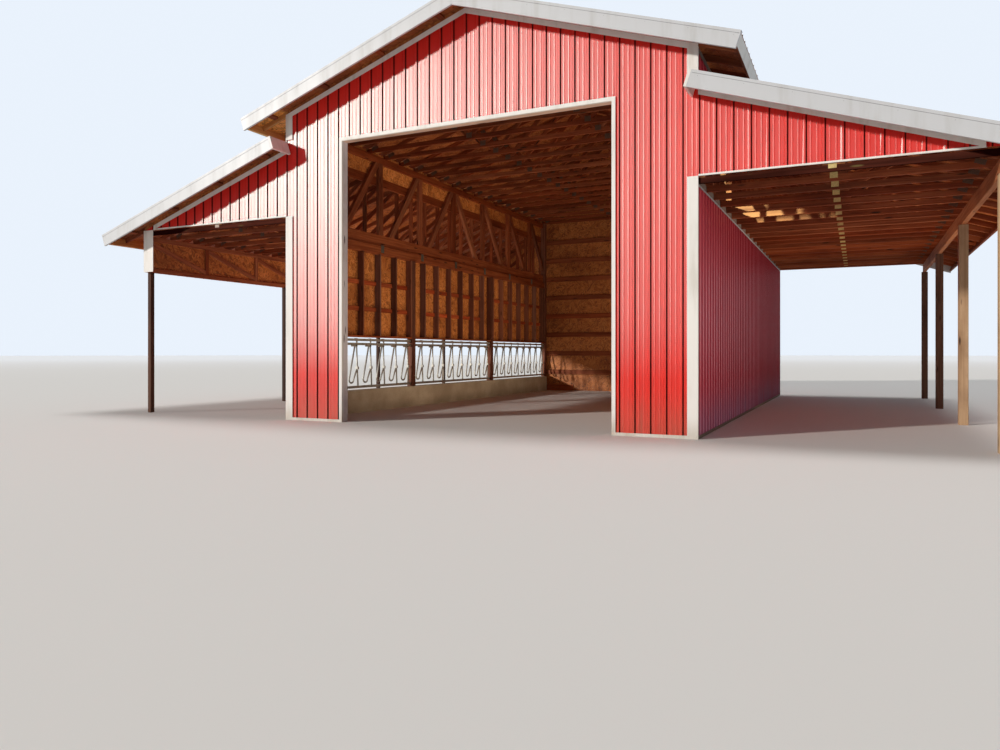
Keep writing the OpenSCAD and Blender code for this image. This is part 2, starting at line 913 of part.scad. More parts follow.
module door_trim() {
    half_door = door_w / 2;
    color(white) {
        both_sides() {
            block([half_door, -panel_face_y, 0], [half_door + door_trim_w, -half_d, door_h]);
            block([half_door, -half_d, 0], [half_door + trim_t, door_return - half_d, door_h]);
        }
        block(
            [-half_door - door_trim_w, -panel_face_y, door_h + butt],
            [half_door + door_trim_w, -half_d, door_h + door_trim_w]
        );
        block([-half_door, -half_d, door_h + butt], [half_door, door_return - half_d, door_h + trim_t]);
    }
}

// White trim folded round a corner of the walls, from a height to the tops of its two edges and its leg
module corner_trim(low, inner_top, outer_top, leg_top) {
    plate_xz(
        [
            [half_w - corner_w, low], [half_w + trim_t, low],
            [half_w + trim_t, outer_top], [half_w - corner_w, inner_top]
        ],
        -panel_face_y, trim_t
    );
    block([half_w, -half_d, low], [half_w + trim_t, corner_leg - half_d, leg_top]);
}

module corner_trims() {
    upper_low = at_x(shed_z0, half_w - corner_w, 0)[1] + butt;
    under_rake = panel_drop + rake_trim_w + butt;
    color(white) {
        both_sides()
            both_ends() {
                corner_trim(0, shed_panel_h, shed_panel_h, shed_panel_h);
                corner_trim(
                    upper_low,
                    at_x(main_z0, half_w - corner_w, under_rake)[1],
                    at_x(main_z0, half_w + trim_t, under_rake)[1],
                    strip_top
                );
            }
        both_ends() {
            block(
                [-outer_x - trim_t, -panel_face_y, eave_truss_low],
                [wrap_w - outer_x, -half_d, shed_panel_h - trim_t - butt]
            );
            block(
                [-outer_x - trim_t, butt - half_d, eave_truss_low],
                [-outer_x, wrap_leg - half_d, shed_seat]
            );
        }
    }
}

module panel_edge_trims() {
    inner = door_w / 2 + door_trim_w + butt;
    outer = half_w - corner_w - butt;
    wrap_start = outer_x - wrap_w - butt;
    leg_end = corner_leg + butt - half_d;
    color(white) {
        both_sides()
            block([inner, -panel_face_y, 0], [outer, -half_d, edge_trim_h]);
        block([-outer, half_d, 0], [outer, panel_face_y, edge_trim_h]);
        both_sides()
            both_ends()
                block(
                    [half_w + trim_t + butt, -panel_face_y, shed_panel_h - trim_t],
                    [wrap_start, -sheath_y, shed_panel_h]
                );
        block([half_w, leg_end, 0], [half_w + trim_t, -leg_end, edge_trim_h]);
        both_sides()
            for (z = [side_top, strip_top])
                block([half_w, leg_end, z - side_trim_h], [half_w + trim_t, -leg_end, z]);
    }
}

module wall_rake_trims() {
    low = panel_drop + rake_trim_w;
    run_out = (shed_z0 - low / cos(slope) - shed_panel_h) / tan(slope);
    color(white)
        both_ends() {
            both_sides()
                plate_xz(
                    [
                        at_x(main_z0, butt, panel_drop), at_x(main_z0, half_w + trim_t, panel_drop),
                        at_x(main_z0, half_w + trim_t, low), at_x(main_z0, butt, low)
                    ],
                    -panel_face_y, trim_t
                );
            both_sides()
                plate_xz(
                    [
                        at_x(shed_z0, half_w + butt, panel_drop), at_x(shed_z0, run_out, panel_drop),
                        at_x(shed_z0, run_out, low), at_x(shed_z0, half_w + butt, low)
                    ],
                    -panel_face_y, trim_t
                );
        }
}

module shed_roof_top_trims() {
    s = half_w / cos(slope);
    color(white)
        both_sides() {
            both_ends()
                plate_xz(
                    [
                        on_roof(shed_z0, s - board_t, trim_t), on_roof(shed_z0, s - butt, trim_t),
                        on_roof(shed_z0, s - butt, rake_face), on_roof(shed_z0, s - board_t, rake_face)
                    ],
                    -rake_y, rake_overhang - trim_t - butt
                );
            plate_xz(
                [
                    at_x(shed_z0, half_w, 0), at_x(shed_z0, half_w + flashing_w, 0),
                    at_x(shed_z0, half_w + flashing_w, trim_t), at_x(shed_z0, half_w, trim_t)
                ],
                corner_w - half_d, depth - 2 * corner_w
            );
        }
}

feed_kerb();
headlock_rails();
headlock_bars();
wall_posts();
eave_posts();
right_eave_beam();
left_eave_truss();
side_headers();
girder_chords();
girder_webs();
wall_sills();
wall_studs();
wall_blocking();
wall_girts();
door_header();
gable_sheathing();
side_sheathing();
front_siding();
front_siding_over_door();
shed_gable_siding();
rear_siding();
side_siding();
main_rafters_left();
main_rafters_right();
main_ties();
main_webs();
shed_rafters();
shed_ties();
shed_webs();
main_deck_left();
main_deck_right();
shed_decks();
main_roofing();
shed_roofing();
ridge_cap();
rake_fascias();
rake_trims();
eave_fascias();
rake_lookouts();
door_trim();
corner_trims();
panel_edge_trims();
wall_rake_trims();
shed_roof_top_trims();
eave_trims();
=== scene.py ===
import json
import math
import random

import bmesh
import bpy
from mathutils import Matrix, Vector

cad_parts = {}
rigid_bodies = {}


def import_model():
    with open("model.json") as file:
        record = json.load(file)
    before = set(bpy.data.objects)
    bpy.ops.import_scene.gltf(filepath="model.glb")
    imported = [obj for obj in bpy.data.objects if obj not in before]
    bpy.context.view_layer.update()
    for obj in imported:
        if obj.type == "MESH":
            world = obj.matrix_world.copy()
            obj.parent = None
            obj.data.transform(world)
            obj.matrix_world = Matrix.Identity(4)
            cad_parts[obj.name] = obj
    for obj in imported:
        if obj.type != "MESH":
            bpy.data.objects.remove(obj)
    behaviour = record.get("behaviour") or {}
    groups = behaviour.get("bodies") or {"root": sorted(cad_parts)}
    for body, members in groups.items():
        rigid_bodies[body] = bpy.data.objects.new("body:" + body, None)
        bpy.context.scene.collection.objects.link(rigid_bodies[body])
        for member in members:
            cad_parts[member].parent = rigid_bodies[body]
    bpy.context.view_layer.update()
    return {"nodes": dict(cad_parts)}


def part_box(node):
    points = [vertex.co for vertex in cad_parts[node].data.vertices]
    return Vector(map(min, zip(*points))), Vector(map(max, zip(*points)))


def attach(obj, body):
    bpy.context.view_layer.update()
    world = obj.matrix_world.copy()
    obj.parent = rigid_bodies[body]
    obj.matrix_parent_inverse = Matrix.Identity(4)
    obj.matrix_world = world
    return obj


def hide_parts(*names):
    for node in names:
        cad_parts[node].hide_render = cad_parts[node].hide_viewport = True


# Looks of a post-framed barn with a raised centre and an open shed on each side.
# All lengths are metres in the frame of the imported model, whose front wall faces -Y.
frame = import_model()
nodes = frame["nodes"]

# View of the photograph
CAMERA_AT = (5.662, -16.705, 1.198)
CAMERA_TURN = math.radians(25.43)
CAMERA_LENS = 27.115
CAMERA_SENSOR = 36.0
CAMERA_SHIFT_Y = -0.0219

# Direction of the low sun, from the shadows of the sloping roof edges
KEY_FROM = (-0.613, -0.747, 0.259)

# Sizes of the building that its boxes don't give
SLOPE = math.atan(4 / 12)
HALF_W = 3.6576
HALF_D = 6.096
RIB_PITCH = 0.2286
RIB_H = 0.019
SHEET_T = 0.001
GIRT_FIRST = 0.594
GIRT_SPACING = 0.595
BOARD_T = 0.038
CHORD_D = 0.089
POST_D = 0.14
BAYS = 3
TRUSS_COUNT = 21
GIRDER_BAY = 1.6256
GIRDER_BAYS = 3
SHEET_W = 1.2192
SHEET_L = 2.4384
SHEET_GAP = 0.003
EAVE_OUT = 0.64
EDGE_GAP = 0.05
PANEL_FOOT = 0.02

# Boards thinner than this in the door's frame are its lining
LINING_T = 0.025

# Height of the sheds' sloping trims over the side walls, and the gap kept at their ends
SHED_RAKE_TOP = 4.983
RAKE_END = 0.02

# Thickness of the trim's folds, height of its face under the shed panels and of its lip on the side walls
FOLD_T = 0.0016
EDGE_FACE = 0.022
WALL_LIP = 0.030

# How far the face's middle stands out, starts beside the wall and ends short of the panels' end, and the
# gap between the lip and the ties over it
EDGE_OUT = 0.001
EDGE_START = 0.004
EDGE_SHORT = 0.265
LIP_GAP = 0.001

# Fold and screws of the sloping trims: drop below the top edge, width, spacing and distance from the ends
FOLD_DROP = 0.045
FOLD_W = 0.007
RAKE_SCREW_DROP = 0.075
RAKE_SCREW_PITCH = 0.61
RAKE_SCREW_END = 0.08

# Headlocks: number in a bay, radius and lean of the bars, and heights and bend over the lower rail
LOCKS_PER_BAY = 8
BAR_R = 0.017
BAR_LEAN = 0.23
LOCK_FOOT = 0.06
LOCK_JOINT = 0.36
LOCK_BEND = 0.075
ARC_STEPS = 10

# Distances along the row, from where a headlock leans to, of its two bars' ends and the joint between them
SLANT_HEAD = 2 * BAR_R
JOINT_OUT = 2.6 * BAR_R
UPRIGHT_FOOT = 4 * BAR_R

# Sizes in X, Y and Z of the headlocks' fittings, and how far latches and hangers stay from the ends and tops
LATCH = (0.008, 0.20, 0.035)
HANGER = (0.008, 0.045, 0.12)
COLLAR = (0.05, 0.05, 0.06)
CLAMP = (0.06, 0.04, 0.008)
LATCH_DROP = 0.012
HANGER_DROP = 0.11
HANGER_BACK = 0.01

# Steel plates at the trusses' joints and brackets under the girders' uprights
PLATE_T = 0.0012
JOINT_SHARE = 0.466
BRACKET_W = 0.11
BRACKET_H = 0.16
BRACKET_LEG = 0.034
BRACKET_T = 0.004
BRACKET_DROP = 0.06


# Node graphs

def node(tree, kind, inputs=None, **settings):
    """Adds a shader node and fills its inputs, by name or number, with values or other nodes' outputs."""
    made = tree.nodes.new("ShaderNode" + kind)
    for name, value in settings.items():
        setattr(made, name, value)
    for key, value in (inputs or {}).items():
        if isinstance(value, bpy.types.NodeSocket):
            tree.links.new(value, made.inputs[key])
        else:
            made.inputs[key].default_value = value
    return made


def math_node(tree, operation, a, b=0.0, clamp=False):
    return node(tree, "Math", {0: a, 1: b}, operation=operation, use_clamp=clamp).outputs[0]


def scaled(tree, vector, scale):
    """The vector with its parts multiplied by the three numbers of scale."""
    return node(tree, "VectorMath", {0: vector, 1: scale}, operation="MULTIPLY").outputs[0]


def noise(tree, vector, scale=1.0, detail=4.0, roughness=0.55, distortion=0.0):
    inputs = {"Vector": vector, "Scale": scale, "Detail": detail, "Roughness": roughness}
    return node(tree, "TexNoise", {**inputs, "Distortion": distortion}).outputs["Fac"]


def ramp(tree, value, low, high, invert=False):
    """0 below low, 1 above high and a smooth step between, or the other way round."""
    inputs = {"Value": value, "From Min": low, "From Max": high}
    if invert:
        inputs.update({"To Min": 1.0, "To Max": 0.0})
    return node(tree, "MapRange", inputs, interpolation_type="SMOOTHSTEP").outputs["Result"]


def mix(tree, factor, a, b, blend="MIX"):
    """Mixes two colours; the numbers are the sockets of a colour Mix node."""
    made = node(tree, "Mix", data_type="RGBA", blend_type=blend)
    for socket, value in ((0, factor), (6, a), (7, b)):
        if isinstance(value, bpy.types.NodeSocket):
            tree.links.new(value, made.inputs[socket])
        else:
            made.inputs[socket].default_value = value
    return made.outputs[2]


def bump(tree, height, distance, strength=1.0, below=None):
    inputs = {"Height": height, "Distance": distance, "Strength": strength}
    if below is not None:
        inputs["Normal"] = below
    return node(tree, "Bump", inputs).outputs["Normal"]


def rgb(red, green, blue):
    return (red, green, blue, 1.0)


def new_material(name, **sockets):
    """A material, its tree and its shader, whose even values are set on the shader's own sockets."""
    material = bpy.data.materials.new(name)
    material.use_nodes = True
    shader = material.node_tree.nodes["Principled BSDF"]
    for key, value in sockets.items():
        shader.inputs[key.replace("_", " ")].default_value = value
    return material, material.node_tree, shader


def feed(tree, shader, **sockets):
    for key, value in sockets.items():
        tree.links.new(value, shader.inputs[key.replace("_", " ")])


def times(tree, colour, tint):
    """The colour multiplied by another."""
    return mix(tree, 1.0, colour, tint, "MULTIPLY")


def between(tree, value, low, high):
    """A number that goes evenly from low to high as the value goes from 0 to 1."""
    return node(tree, "MapRange", {"Value": value, "To Min": low, "To Max": high}).outputs["Result"]


def part(tree, vector, axis):
    return node(tree, "SeparateXYZ", {0: vector}).outputs[axis]


def place(tree):
    """Place in the building, in metres."""
    return node(tree, "TexCoord").outputs["Object"]


def near_ground(tree, position, reach):
    """1 on the ground and 0 from the height of reach upwards."""
    return ramp(tree, part(tree, position, "Z"), 0.0, reach, True)


def board_value(tree, name):
    """What lay_grain stored on each solid: its grain coordinates, or its own tones."""
    return node(tree, "Attribute", attribute_name=name).outputs["Vector"]


# Materials

# How much of the ribs' slopes the red paint's light shows in X and Y, on a side wall and on a front wall
SOFTEN = ((1.0, 0.44), (0.44, 1.0))

# How square to the panels a rib's flank starts and ends to count, and the share of gloss on a lee flank
FLANK = (0.35, 0.6)
LEE_GLOSS = 1 / 6

# Heights between which dust from the ground dulls the red paint, and the share of its shine left lowest down
DUSTY = (0.2, 1.9)
DUSTY_SHINE = 0.3


def rib_normal(tree, upright, aside, lee):
    """The surface's normal with the ribs' slopes evened out, apart from their lee flanks."""
    to_front = math_node(tree, "GREATER_THAN", aside[1], aside[0])
    kept = [between(tree, to_front, low, high) for low, high in SOFTEN]
    kept = node(tree, "CombineXYZ", {"X": kept[0], "Y": kept[1], "Z": 1.0}).outputs[0]
    evened = node(tree, "VectorMath", {0: upright, 1: kept}, operation="MULTIPLY").outputs[0]
    normal = node(tree, "Mix", {0: lee, 4: evened, 5: upright}, data_type="VECTOR").outputs[1]
    return node(tree, "VectorMath", {0: normal}, operation="NORMALIZE").outputs[0]


def red_steel(name, gloss, tint, lee_painted_shade):
    """Red paint on rolled steel, slightly wavy and dusty low down, with painted shade on the ribs' lee
    flanks.
    """
    material, tree, shader = new_material(name)
    position = place(tree)
    streaks = noise(tree, scaled(tree, position, (9.0, 9.0, 0.5)), detail=5.0)
    clouds = noise(tree, position, 0.9, detail=3.0)
    colour = mix(tree, ramp(tree, clouds, 0.3, 0.7), rgb(0.66, 0.016, 0.010), rgb(0.72, 0.020, 0.012))
    colour = mix(tree, ramp(tree, streaks, 0.5, 0.85), colour, rgb(0.57, 0.012, 0.008))
    splash = math_node(tree, "MULTIPLY", near_ground(tree, position, 0.8), streaks)
    colour = mix(tree, math_node(tree, "MULTIPLY", splash, 0.7), colour, rgb(0.30, 0.13, 0.08))
    upright = node(tree, "TexCoord").outputs["Normal"]
    facing = node(tree, "SeparateXYZ", {0: upright})
    aside = [math_node(tree, "ABSOLUTE", facing.outputs[axis]) for axis in ("X", "Y")]
    flank = ramp(tree, math_node(tree, "MINIMUM", *aside), *FLANK)
    lee = math_node(tree, "MULTIPLY", flank, math_node(tree, "GREATER_THAN", facing.outputs["X"], 0.0))
    # The tint is plain white on the front walls; on the side walls it paints in bluish sky light
    colour = times(tree, colour, tint)
    # Painted shade: rib flanks facing +X, away from the key light, are drawn darker
    colour = mix(tree, lee, colour, times(tree, colour, lee_painted_shade))
    clean = ramp(tree, part(tree, position, "Z"), *DUSTY)
    shine = between(tree, lee, gloss, gloss * LEE_GLOSS)
    shine = math_node(tree, "MULTIPLY", shine, math_node(tree, "MAXIMUM", clean, DUSTY_SHINE))
    rough = between(tree, streaks, 0.40, 0.46)
    waves = noise(tree, scaled(tree, position, (5.0, 5.0, 1.3)), detail=2.0)
    relief = bump(tree, waves, 0.003, 0.5, rib_normal(tree, upright, aside, lee))
    feed(tree, shader, Base_Color=colour, Roughness=rough, Normal=relief, Specular_IOR_Level=shine)
    return material


def white_paint(name, clean, dirty, gloss):
    """White paint on folded steel and face boards, with a little dirt in streaks."""
    material, tree, shader = new_material(name, Specular_IOR_Level=gloss)
    position = place(tree)
    streaks = noise(tree, scaled(tree, position, (6.0, 6.0, 0.8)), detail=5.0)
    colour = mix(tree, ramp(tree, streaks, 0.45, 0.8), clean, dirty)
    low = math_node(tree, "MULTIPLY", near_ground(tree, position, 0.35), streaks)
    colour = mix(tree, low, colour, rgb(0.42, 0.36, 0.28))
    rough = between(tree, streaks, 0.32, 0.5)
    feed(tree, shader, Base_Color=colour, Roughness=rough, Normal=bump(tree, streaks, 0.0008, 0.4))
    return material


def roof_steel():
    """Pale coated roofing with faint run-off streaks and, as relief, the small ribs between the main ones."""
    material, tree, shader = new_material("roof_steel", Metallic=0.35)
    position = place(tree)
    streaks = noise(tree, scaled(tree, position, (0.7, 8.0, 0.7)), detail=5.0)
    colour = mix(tree, ramp(tree, streaks, 0.35, 0.75), rgb(0.66, 0.67, 0.67), rgb(0.50, 0.51, 0.51))
    rough = between(tree, streaks, 0.34, 0.52)
    third = math_node(tree, "PINGPONG", part(tree, position, "Y"), RIB_PITCH / 6)
    small_ribs = ramp(tree, third, 0.0, 0.015, True)
    relief = bump(tree, small_ribs, 0.004, 1.0, bump(tree, streaks, 0.002, 0.4))
    feed(tree, shader, Base_Color=colour, Roughness=rough, Normal=relief)
    return material


def galvanised(name, bright, dull, metallic):
    """Zinc coating with its spangle, dirty where stock rub it."""
    material, tree, shader = new_material(name, Metallic=metallic)
    position = place(tree)
    spangle = node(tree, "TexVoronoi", {"Vector": position, "Scale": 90.0}).outputs["Color"]
    dirt = noise(tree, position, 3.0, detail=5.0)
    colour = mix(tree, part(tree, spangle, "X"), bright, dull)
    colour = mix(tree, ramp(tree, dirt, 0.52, 0.75), colour, times(tree, colour, rgb(0.5, 0.42, 0.33)))
    rough = between(tree, dirt, 0.30, 0.55)
    feed(tree, shader, Base_Color=colour, Roughness=rough, Normal=bump(tree, dirt, 0.001, 0.4))
    return material


def concrete():
    """Cast concrete with form marks, pores and damp stains low down."""
    material, tree, shader = new_material("concrete")
    position = place(tree)
    grit = noise(tree, position, 60.0, roughness=0.7)
    cloud = noise(tree, position, 1.4, detail=5.0)
    colour = mix(tree, ramp(tree, cloud, 0.3, 0.7), rgb(0.44, 0.36, 0.27), rgb(0.30, 0.235, 0.17))
    colour = mix(tree, ramp(tree, grit, 0.5, 0.8), colour, rgb(0.20, 0.16, 0.12))
    foot = ramp(tree, part(tree, position, "Z"), 0.02, 0.25, True)
    colour = mix(tree, math_node(tree, "MULTIPLY", foot, cloud), colour, rgb(0.15, 0.12, 0.085))
    rough = between(tree, grit, 0.75, 0.95)
    feed(tree, shader, Base_Color=colour, Roughness=rough, Normal=bump(tree, grit, 0.002, 0.7))
    return material


def sawn_timber(name, pale, deep, gloss=0.25):
    """Sawn softwood whose grain follows each board, with its own tone on each, knots and water stains."""
    material, tree, shader = new_material(name, Specular_IOR_Level=gloss)
    grain = board_value(tree, "grain")
    tone = node(tree, "SeparateXYZ", {0: board_value(tree, "board")})
    long_grain = scaled(tree, grain, (0.9, 26.0, 26.0))
    rings = noise(tree, long_grain, detail=3.0, roughness=0.5, distortion=0.6)
    fibre = noise(tree, scaled(tree, grain, (6.0, 420.0, 420.0)), detail=2.0)
    cells = node(tree, "TexVoronoi", {"Vector": scaled(tree, grain, (1.5, 9.0, 9.0)), "Scale": 1.0})
    knots = ramp(tree, cells.outputs["Distance"], 0.07, 0.16, True)
    stains = noise(tree, place(tree), 0.7, detail=5.0, roughness=0.6)
    colour = mix(tree, ramp(tree, rings, 0.35, 0.68), pale, deep)
    colour = mix(tree, math_node(tree, "MULTIPLY", fibre, 0.35), colour, deep)
    colour = mix(tree, tone.outputs["X"], colour, times(tree, colour, rgb(0.55, 0.47, 0.42)))
    colour = mix(tree, tone.outputs["Y"], colour, times(tree, colour, rgb(1.12, 0.84, 0.66)))
    colour = mix(tree, knots, colour, rgb(0.045, 0.02, 0.01))
    stained = times(tree, colour, rgb(0.62, 0.55, 0.52))
    colour = mix(tree, ramp(tree, stains, 0.45, 0.72), colour, stained)
    rough = between(tree, fibre, 0.62, 0.88)
    relief = bump(tree, rings, 0.0015, 0.5, bump(tree, fibre, 0.0006, 0.5))
    feed(tree, shader, Base_Color=colour, Roughness=rough, Normal=relief)
    return material


def strand_board(name, warmth, left_eave=None):
    """Pressed board of wood strands in many directions; under the left eave it may be brightened with painted
    bounce light.
    """
    material, tree, shader = new_material(name)
    grain = board_value(tree, "grain")
    bend = noise(tree, grain, 3.0, detail=2.0)
    shades = []
    for turn, length, width in ((0.3, 7.0, 38.0), (-0.5, 10.0, 55.0), (1.2, 8.0, 45.0)):
        turned = node(tree, "VectorRotate", {"Vector": grain, "Angle": turn}, rotation_type="Z_AXIS")
        bent = node(tree, "VectorMath", {0: turned.outputs[0], 1: bend}, operation="ADD").outputs[0]
        flake = node(tree, "TexVoronoi", {"Vector": scaled(tree, bent, (length, width, 6.0)), "Scale": 1.0})
        shades.append(part(tree, flake.outputs["Color"], "X"))
    first = mix(tree, shades[0], rgb(0.42, 0.205, 0.07), rgb(0.25, 0.095, 0.026))
    second = mix(tree, shades[1], rgb(0.55, 0.30, 0.12), rgb(0.30, 0.12, 0.035))
    third = mix(tree, shades[2], rgb(0.34, 0.15, 0.05), rgb(0.16, 0.065, 0.021))
    colour = mix(tree, ramp(tree, shades[1], 0.45, 0.55), first, second)
    colour = mix(tree, ramp(tree, shades[2], 0.70, 0.78), colour, third)
    cloud = noise(tree, place(tree), 1.1, detail=5.0, roughness=0.6)
    colour = mix(tree, ramp(tree, cloud, 0.42, 0.75), colour, times(tree, colour, rgb(0.6, 0.5, 0.45)))
    tone = part(tree, board_value(tree, "board"), "X")
    colour = mix(tree, tone, colour, times(tree, colour, rgb(0.72, 0.66, 0.6)))
    colour = times(tree, colour, warmth)
    # Painted light: beyond the left wall, under the eave, the boards are brightened as if lit from the ground
    if left_eave:
        eave_light_mask = ramp(tree, part(tree, place(tree), "X"), -HALF_W - 0.1, -HALF_W, True)
        colour = mix(tree, eave_light_mask, colour, times(tree, colour, left_eave))
    rough = between(tree, shades[0], 0.55, 0.8)
    feed(tree, shader, Base_Color=colour, Roughness=rough, Normal=bump(tree, shades[1], 0.0012, 0.5))
    return material


# The last colour given to each red is the painted shade of the ribs' lee flanks
RED = red_steel("red_steel", 0.45, rgb(1.0, 1.0, 1.0), rgb(0.15, 0.25, 0.25))
# A copy of the red paint for the shaded side walls, its bluish tint painted sky light
SKY_TINTED_SIDE_RED = red_steel("sky_tinted_side_red_steel", 0.95, rgb(0.92, 2.6, 6.0), rgb(0.60, 0.60, 0.62))
WHITE = white_paint("white_trim", rgb(0.80, 0.78, 0.75), rgb(0.64, 0.61, 0.56), 0.12)
RAKE_WHITE = white_paint("rake_white", rgb(0.54, 0.55, 0.57), rgb(0.46, 0.46, 0.46), 0.36)
SHADED_TRIM = white_paint("shaded_trim", rgb(0.28, 0.22, 0.19), rgb(0.20, 0.16, 0.14), 0.0)
# Grey for painted shade: the fold line and screw heads on the white sloping trims
HEM_SHADE_GREY = white_paint("hem", rgb(0.30, 0.30, 0.32), rgb(0.22, 0.22, 0.24), 0.1)

ROOF = roof_steel()
ZINC = galvanised("galvanised", rgb(0.56, 0.55, 0.50), rgb(0.40, 0.39, 0.35), 0.3)
DULL_ZINC = galvanised("dull_zinc", rgb(0.20, 0.20, 0.17), rgb(0.13, 0.13, 0.11), 0.3)
# Zinc plates darkened to brown as painted shade of the roof space
SHADED_PLATE_ZINC = galvanised("shaded_plate_zinc", rgb(0.15, 0.09, 0.06), rgb(0.10, 0.06, 0.04), 0.2)
# Zinc plates coloured warm yellow as painted sunlight
SUNLIT_PAINTED_ZINC = galvanised("sunlit_painted_zinc", rgb(0.70, 0.56, 0.24), rgb(0.55, 0.42, 0.16), 0.0)
CONCRETE = concrete()
FRAME_TIMBER = sawn_timber("frame_timber", rgb(0.47, 0.165, 0.065), rgb(0.28, 0.08, 0.03))
WEB_TIMBER = sawn_timber("web_timber", rgb(0.44, 0.17, 0.08), rgb(0.27, 0.085, 0.04))
STUD_TIMBER = sawn_timber("stud_timber", rgb(0.25, 0.125, 0.09), rgb(0.155, 0.07, 0.05))
BLOCK_TIMBER = sawn_timber("block_timber", rgb(0.44, 0.11, 0.04), rgb(0.28, 0.06, 0.02))
TRUSS_TIMBER = sawn_timber("truss_timber", rgb(0.40, 0.13, 0.055), rgb(0.24, 0.065, 0.025))
# Eave posts in lit and shaded copies of one timber: post_timber pale as painted sunlight, the middle and rear
# ones in painted shade
POST_TIMBER = sawn_timber("post_timber", rgb(0.95, 0.82, 0.57), rgb(0.80, 0.62, 0.38))
SLIM_TIMBER = sawn_timber("slim_timber", rgb(0.13, 0.07, 0.048), rgb(0.075, 0.042, 0.030))
HALF_SHADED_POST_TIMBER = sawn_timber("middle_post_timber", rgb(0.58, 0.45, 0.30), rgb(0.46, 0.33, 0.20))
SHADED_REAR_POST_TIMBER = sawn_timber("rear_post_timber", rgb(0.30, 0.20, 0.145), rgb(0.19, 0.125, 0.09))
BEAM_TIMBER = sawn_timber("beam_timber", rgb(0.66, 0.33, 0.17), rgb(0.44, 0.20, 0.09))
# Timber brightened with painted bounce light, for the soffit parts under the left roof edges
BOUNCE_LIT_TIMBER = sawn_timber("bounce_lit_timber", rgb(0.95, 0.58, 0.24), rgb(0.80, 0.40, 0.13))
SHADED_TIMBER = sawn_timber("shaded_timber", rgb(0.034, 0.0075, 0.0075), rgb(0.018, 0.0042, 0.0045), 0.0)
LINING = sawn_timber("door_lining", rgb(0.82, 0.79, 0.83), rgb(0.68, 0.65, 0.68))
WALL_BOARD = strand_board("wall_board", rgb(1.70, 1.38, 1.15))
# Its last colour is the painted bounce light on the underside of the left eave
ROOF_BOARD = strand_board("roof_board", rgb(1.2, 0.78, 0.6), rgb(2.4, 3.6, 3.0))
SHED_ROOF_BOARD = strand_board("shed_roof_board", rgb(1.35, 0.88, 0.68))


# Meshes

MERGE = 1e-5
FLAT = math.radians(0.5)
SHARP = math.radians(20)
GRAIN_SPREAD = 30.0
EASED = 0.003
EASED_POST = 0.005
ALONG_X = Vector((1, 0, 0))
ALONG_Y = Vector((0, 1, 0))
UP = Vector((0, 0, 1))
DOWN_RIGHT = Vector((math.cos(SLOPE), 0, -math.sin(SLOPE)))


def solids_of(name):
    """The node's solids as a clean mesh, its split corners joined and each flat face whole."""
    work = bmesh.new()
    work.from_mesh(nodes[name].data)
    bmesh.ops.remove_doubles(work, verts=work.verts, dist=MERGE)
    bmesh.ops.dissolve_limit(work, angle_limit=FLAT, verts=work.verts, edges=work.edges)
    return work


def islands(work):
    """The corners of each separate solid, in a steady order."""
    work.verts.index_update()
    seen = [False] * len(work.verts)
    for start in work.verts:
        if seen[start.index]:
            continue
        seen[start.index] = True
        group = [start]
        for corner in group:
            for edge in corner.link_edges:
                other = edge.other_vert(corner)
                if not seen[other.index]:
                    seen[other.index] = True
                    group.append(other)
        yield group


def forward(direction):
    """The direction or its opposite, whichever has its greatest part positive."""
    return direction if max(direction, key=abs) > 0 else -direction


def board_axes(group):
    """Directions along, across and through a board, from its longest edge and its broadest face."""
    faces = list(dict.fromkeys(face for corner in group for face in corner.link_faces))
    edges = list(dict.fromkeys(edge for corner in group for edge in corner.link_edges))
    longest = max(edges, key=lambda edge: round(edge.calc_length(), 5))
    along = forward((longest.verts[1].co - longest.verts[0].co).normalized())
    broad = max(faces, key=lambda face: round(face.calc_area(), 6))
    through = forward(broad.normal.normalized())
    return along, through.cross(along), through


def lay_grain(work, seed):
    """Gives each solid its own grain coordinates and tones, which the wood materials read."""
    grain = work.verts.layers.float_vector.new("grain")
    board = work.verts.layers.float_vector.new("board")
    chance = random.Random(seed)
    for group in islands(work):
        axes = board_axes(group)
        shift = Vector([chance.uniform(0.0, GRAIN_SPREAD) for axis in axes])
        tones = Vector([chance.random() for axis in axes])
        for corner in group:
            corner[grain] = Vector([corner.co.dot(axis) for axis in axes]) + shift
            corner[board] = tones


def ease(work, width=EASED):
    sharp = [edge for edge in work.edges if edge.is_manifold and edge.calc_face_angle() > SHARP]
    bmesh.ops.bevel(work, geom=sharp, offset=width, segments=1, affect="EDGES", clamp_overlap=True)


def add_piece(name, mesh, material, stands_for=()):
    """Makes a piece of the mesh, which rides on the building."""
    made = bpy.data.objects.new(name, mesh)
    bpy.context.scene.collection.objects.link(made)
    mesh.materials.append(material)
    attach(made, "root")
    if stands_for:
        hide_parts(*stands_for)
    return made


def finish_piece(name, work, material, node_name):
    """Turns worked solids into the piece that stands for their node."""
    mesh = bpy.data.meshes.new(name)
    work.to_mesh(mesh)
    work.free()
    return add_piece(name, mesh, material, (node_name,))


def boards(name, material, seed, width=EASED, others=()):
    """A node's boards with eased edges and own grain; each of others is a material and its test."""
    work = solids_of(name)
    if width:
        ease(work, width)
    lay_grain(work, seed)
    for group in islands(work):
        for number, (other, test) in enumerate(others, 1):
            if test(group):
                for corner in group:
                    for face in corner.link_faces:
                        face.material_index = number
                break
    made = finish_piece(name + "_boards", work, material, name)
    for other, test in others:
        made.data.materials.append(other)
    return made


def cut_off(work, point, outward):
    """Cuts away what lies beyond a plane and closes the cut."""
    geometry = work.verts[:] + work.edges[:] + work.faces[:]
    cut = bmesh.ops.bisect_plane(
        work, geom=geometry, dist=1e-7, plane_co=point, plane_no=outward, clear_outer=True
    )["geom_cut"]
    rim = [item for item in cut if isinstance(item, bmesh.types.BMEdge)]
    if rim:
        bmesh.ops.edgenet_fill(work, edges=rim)


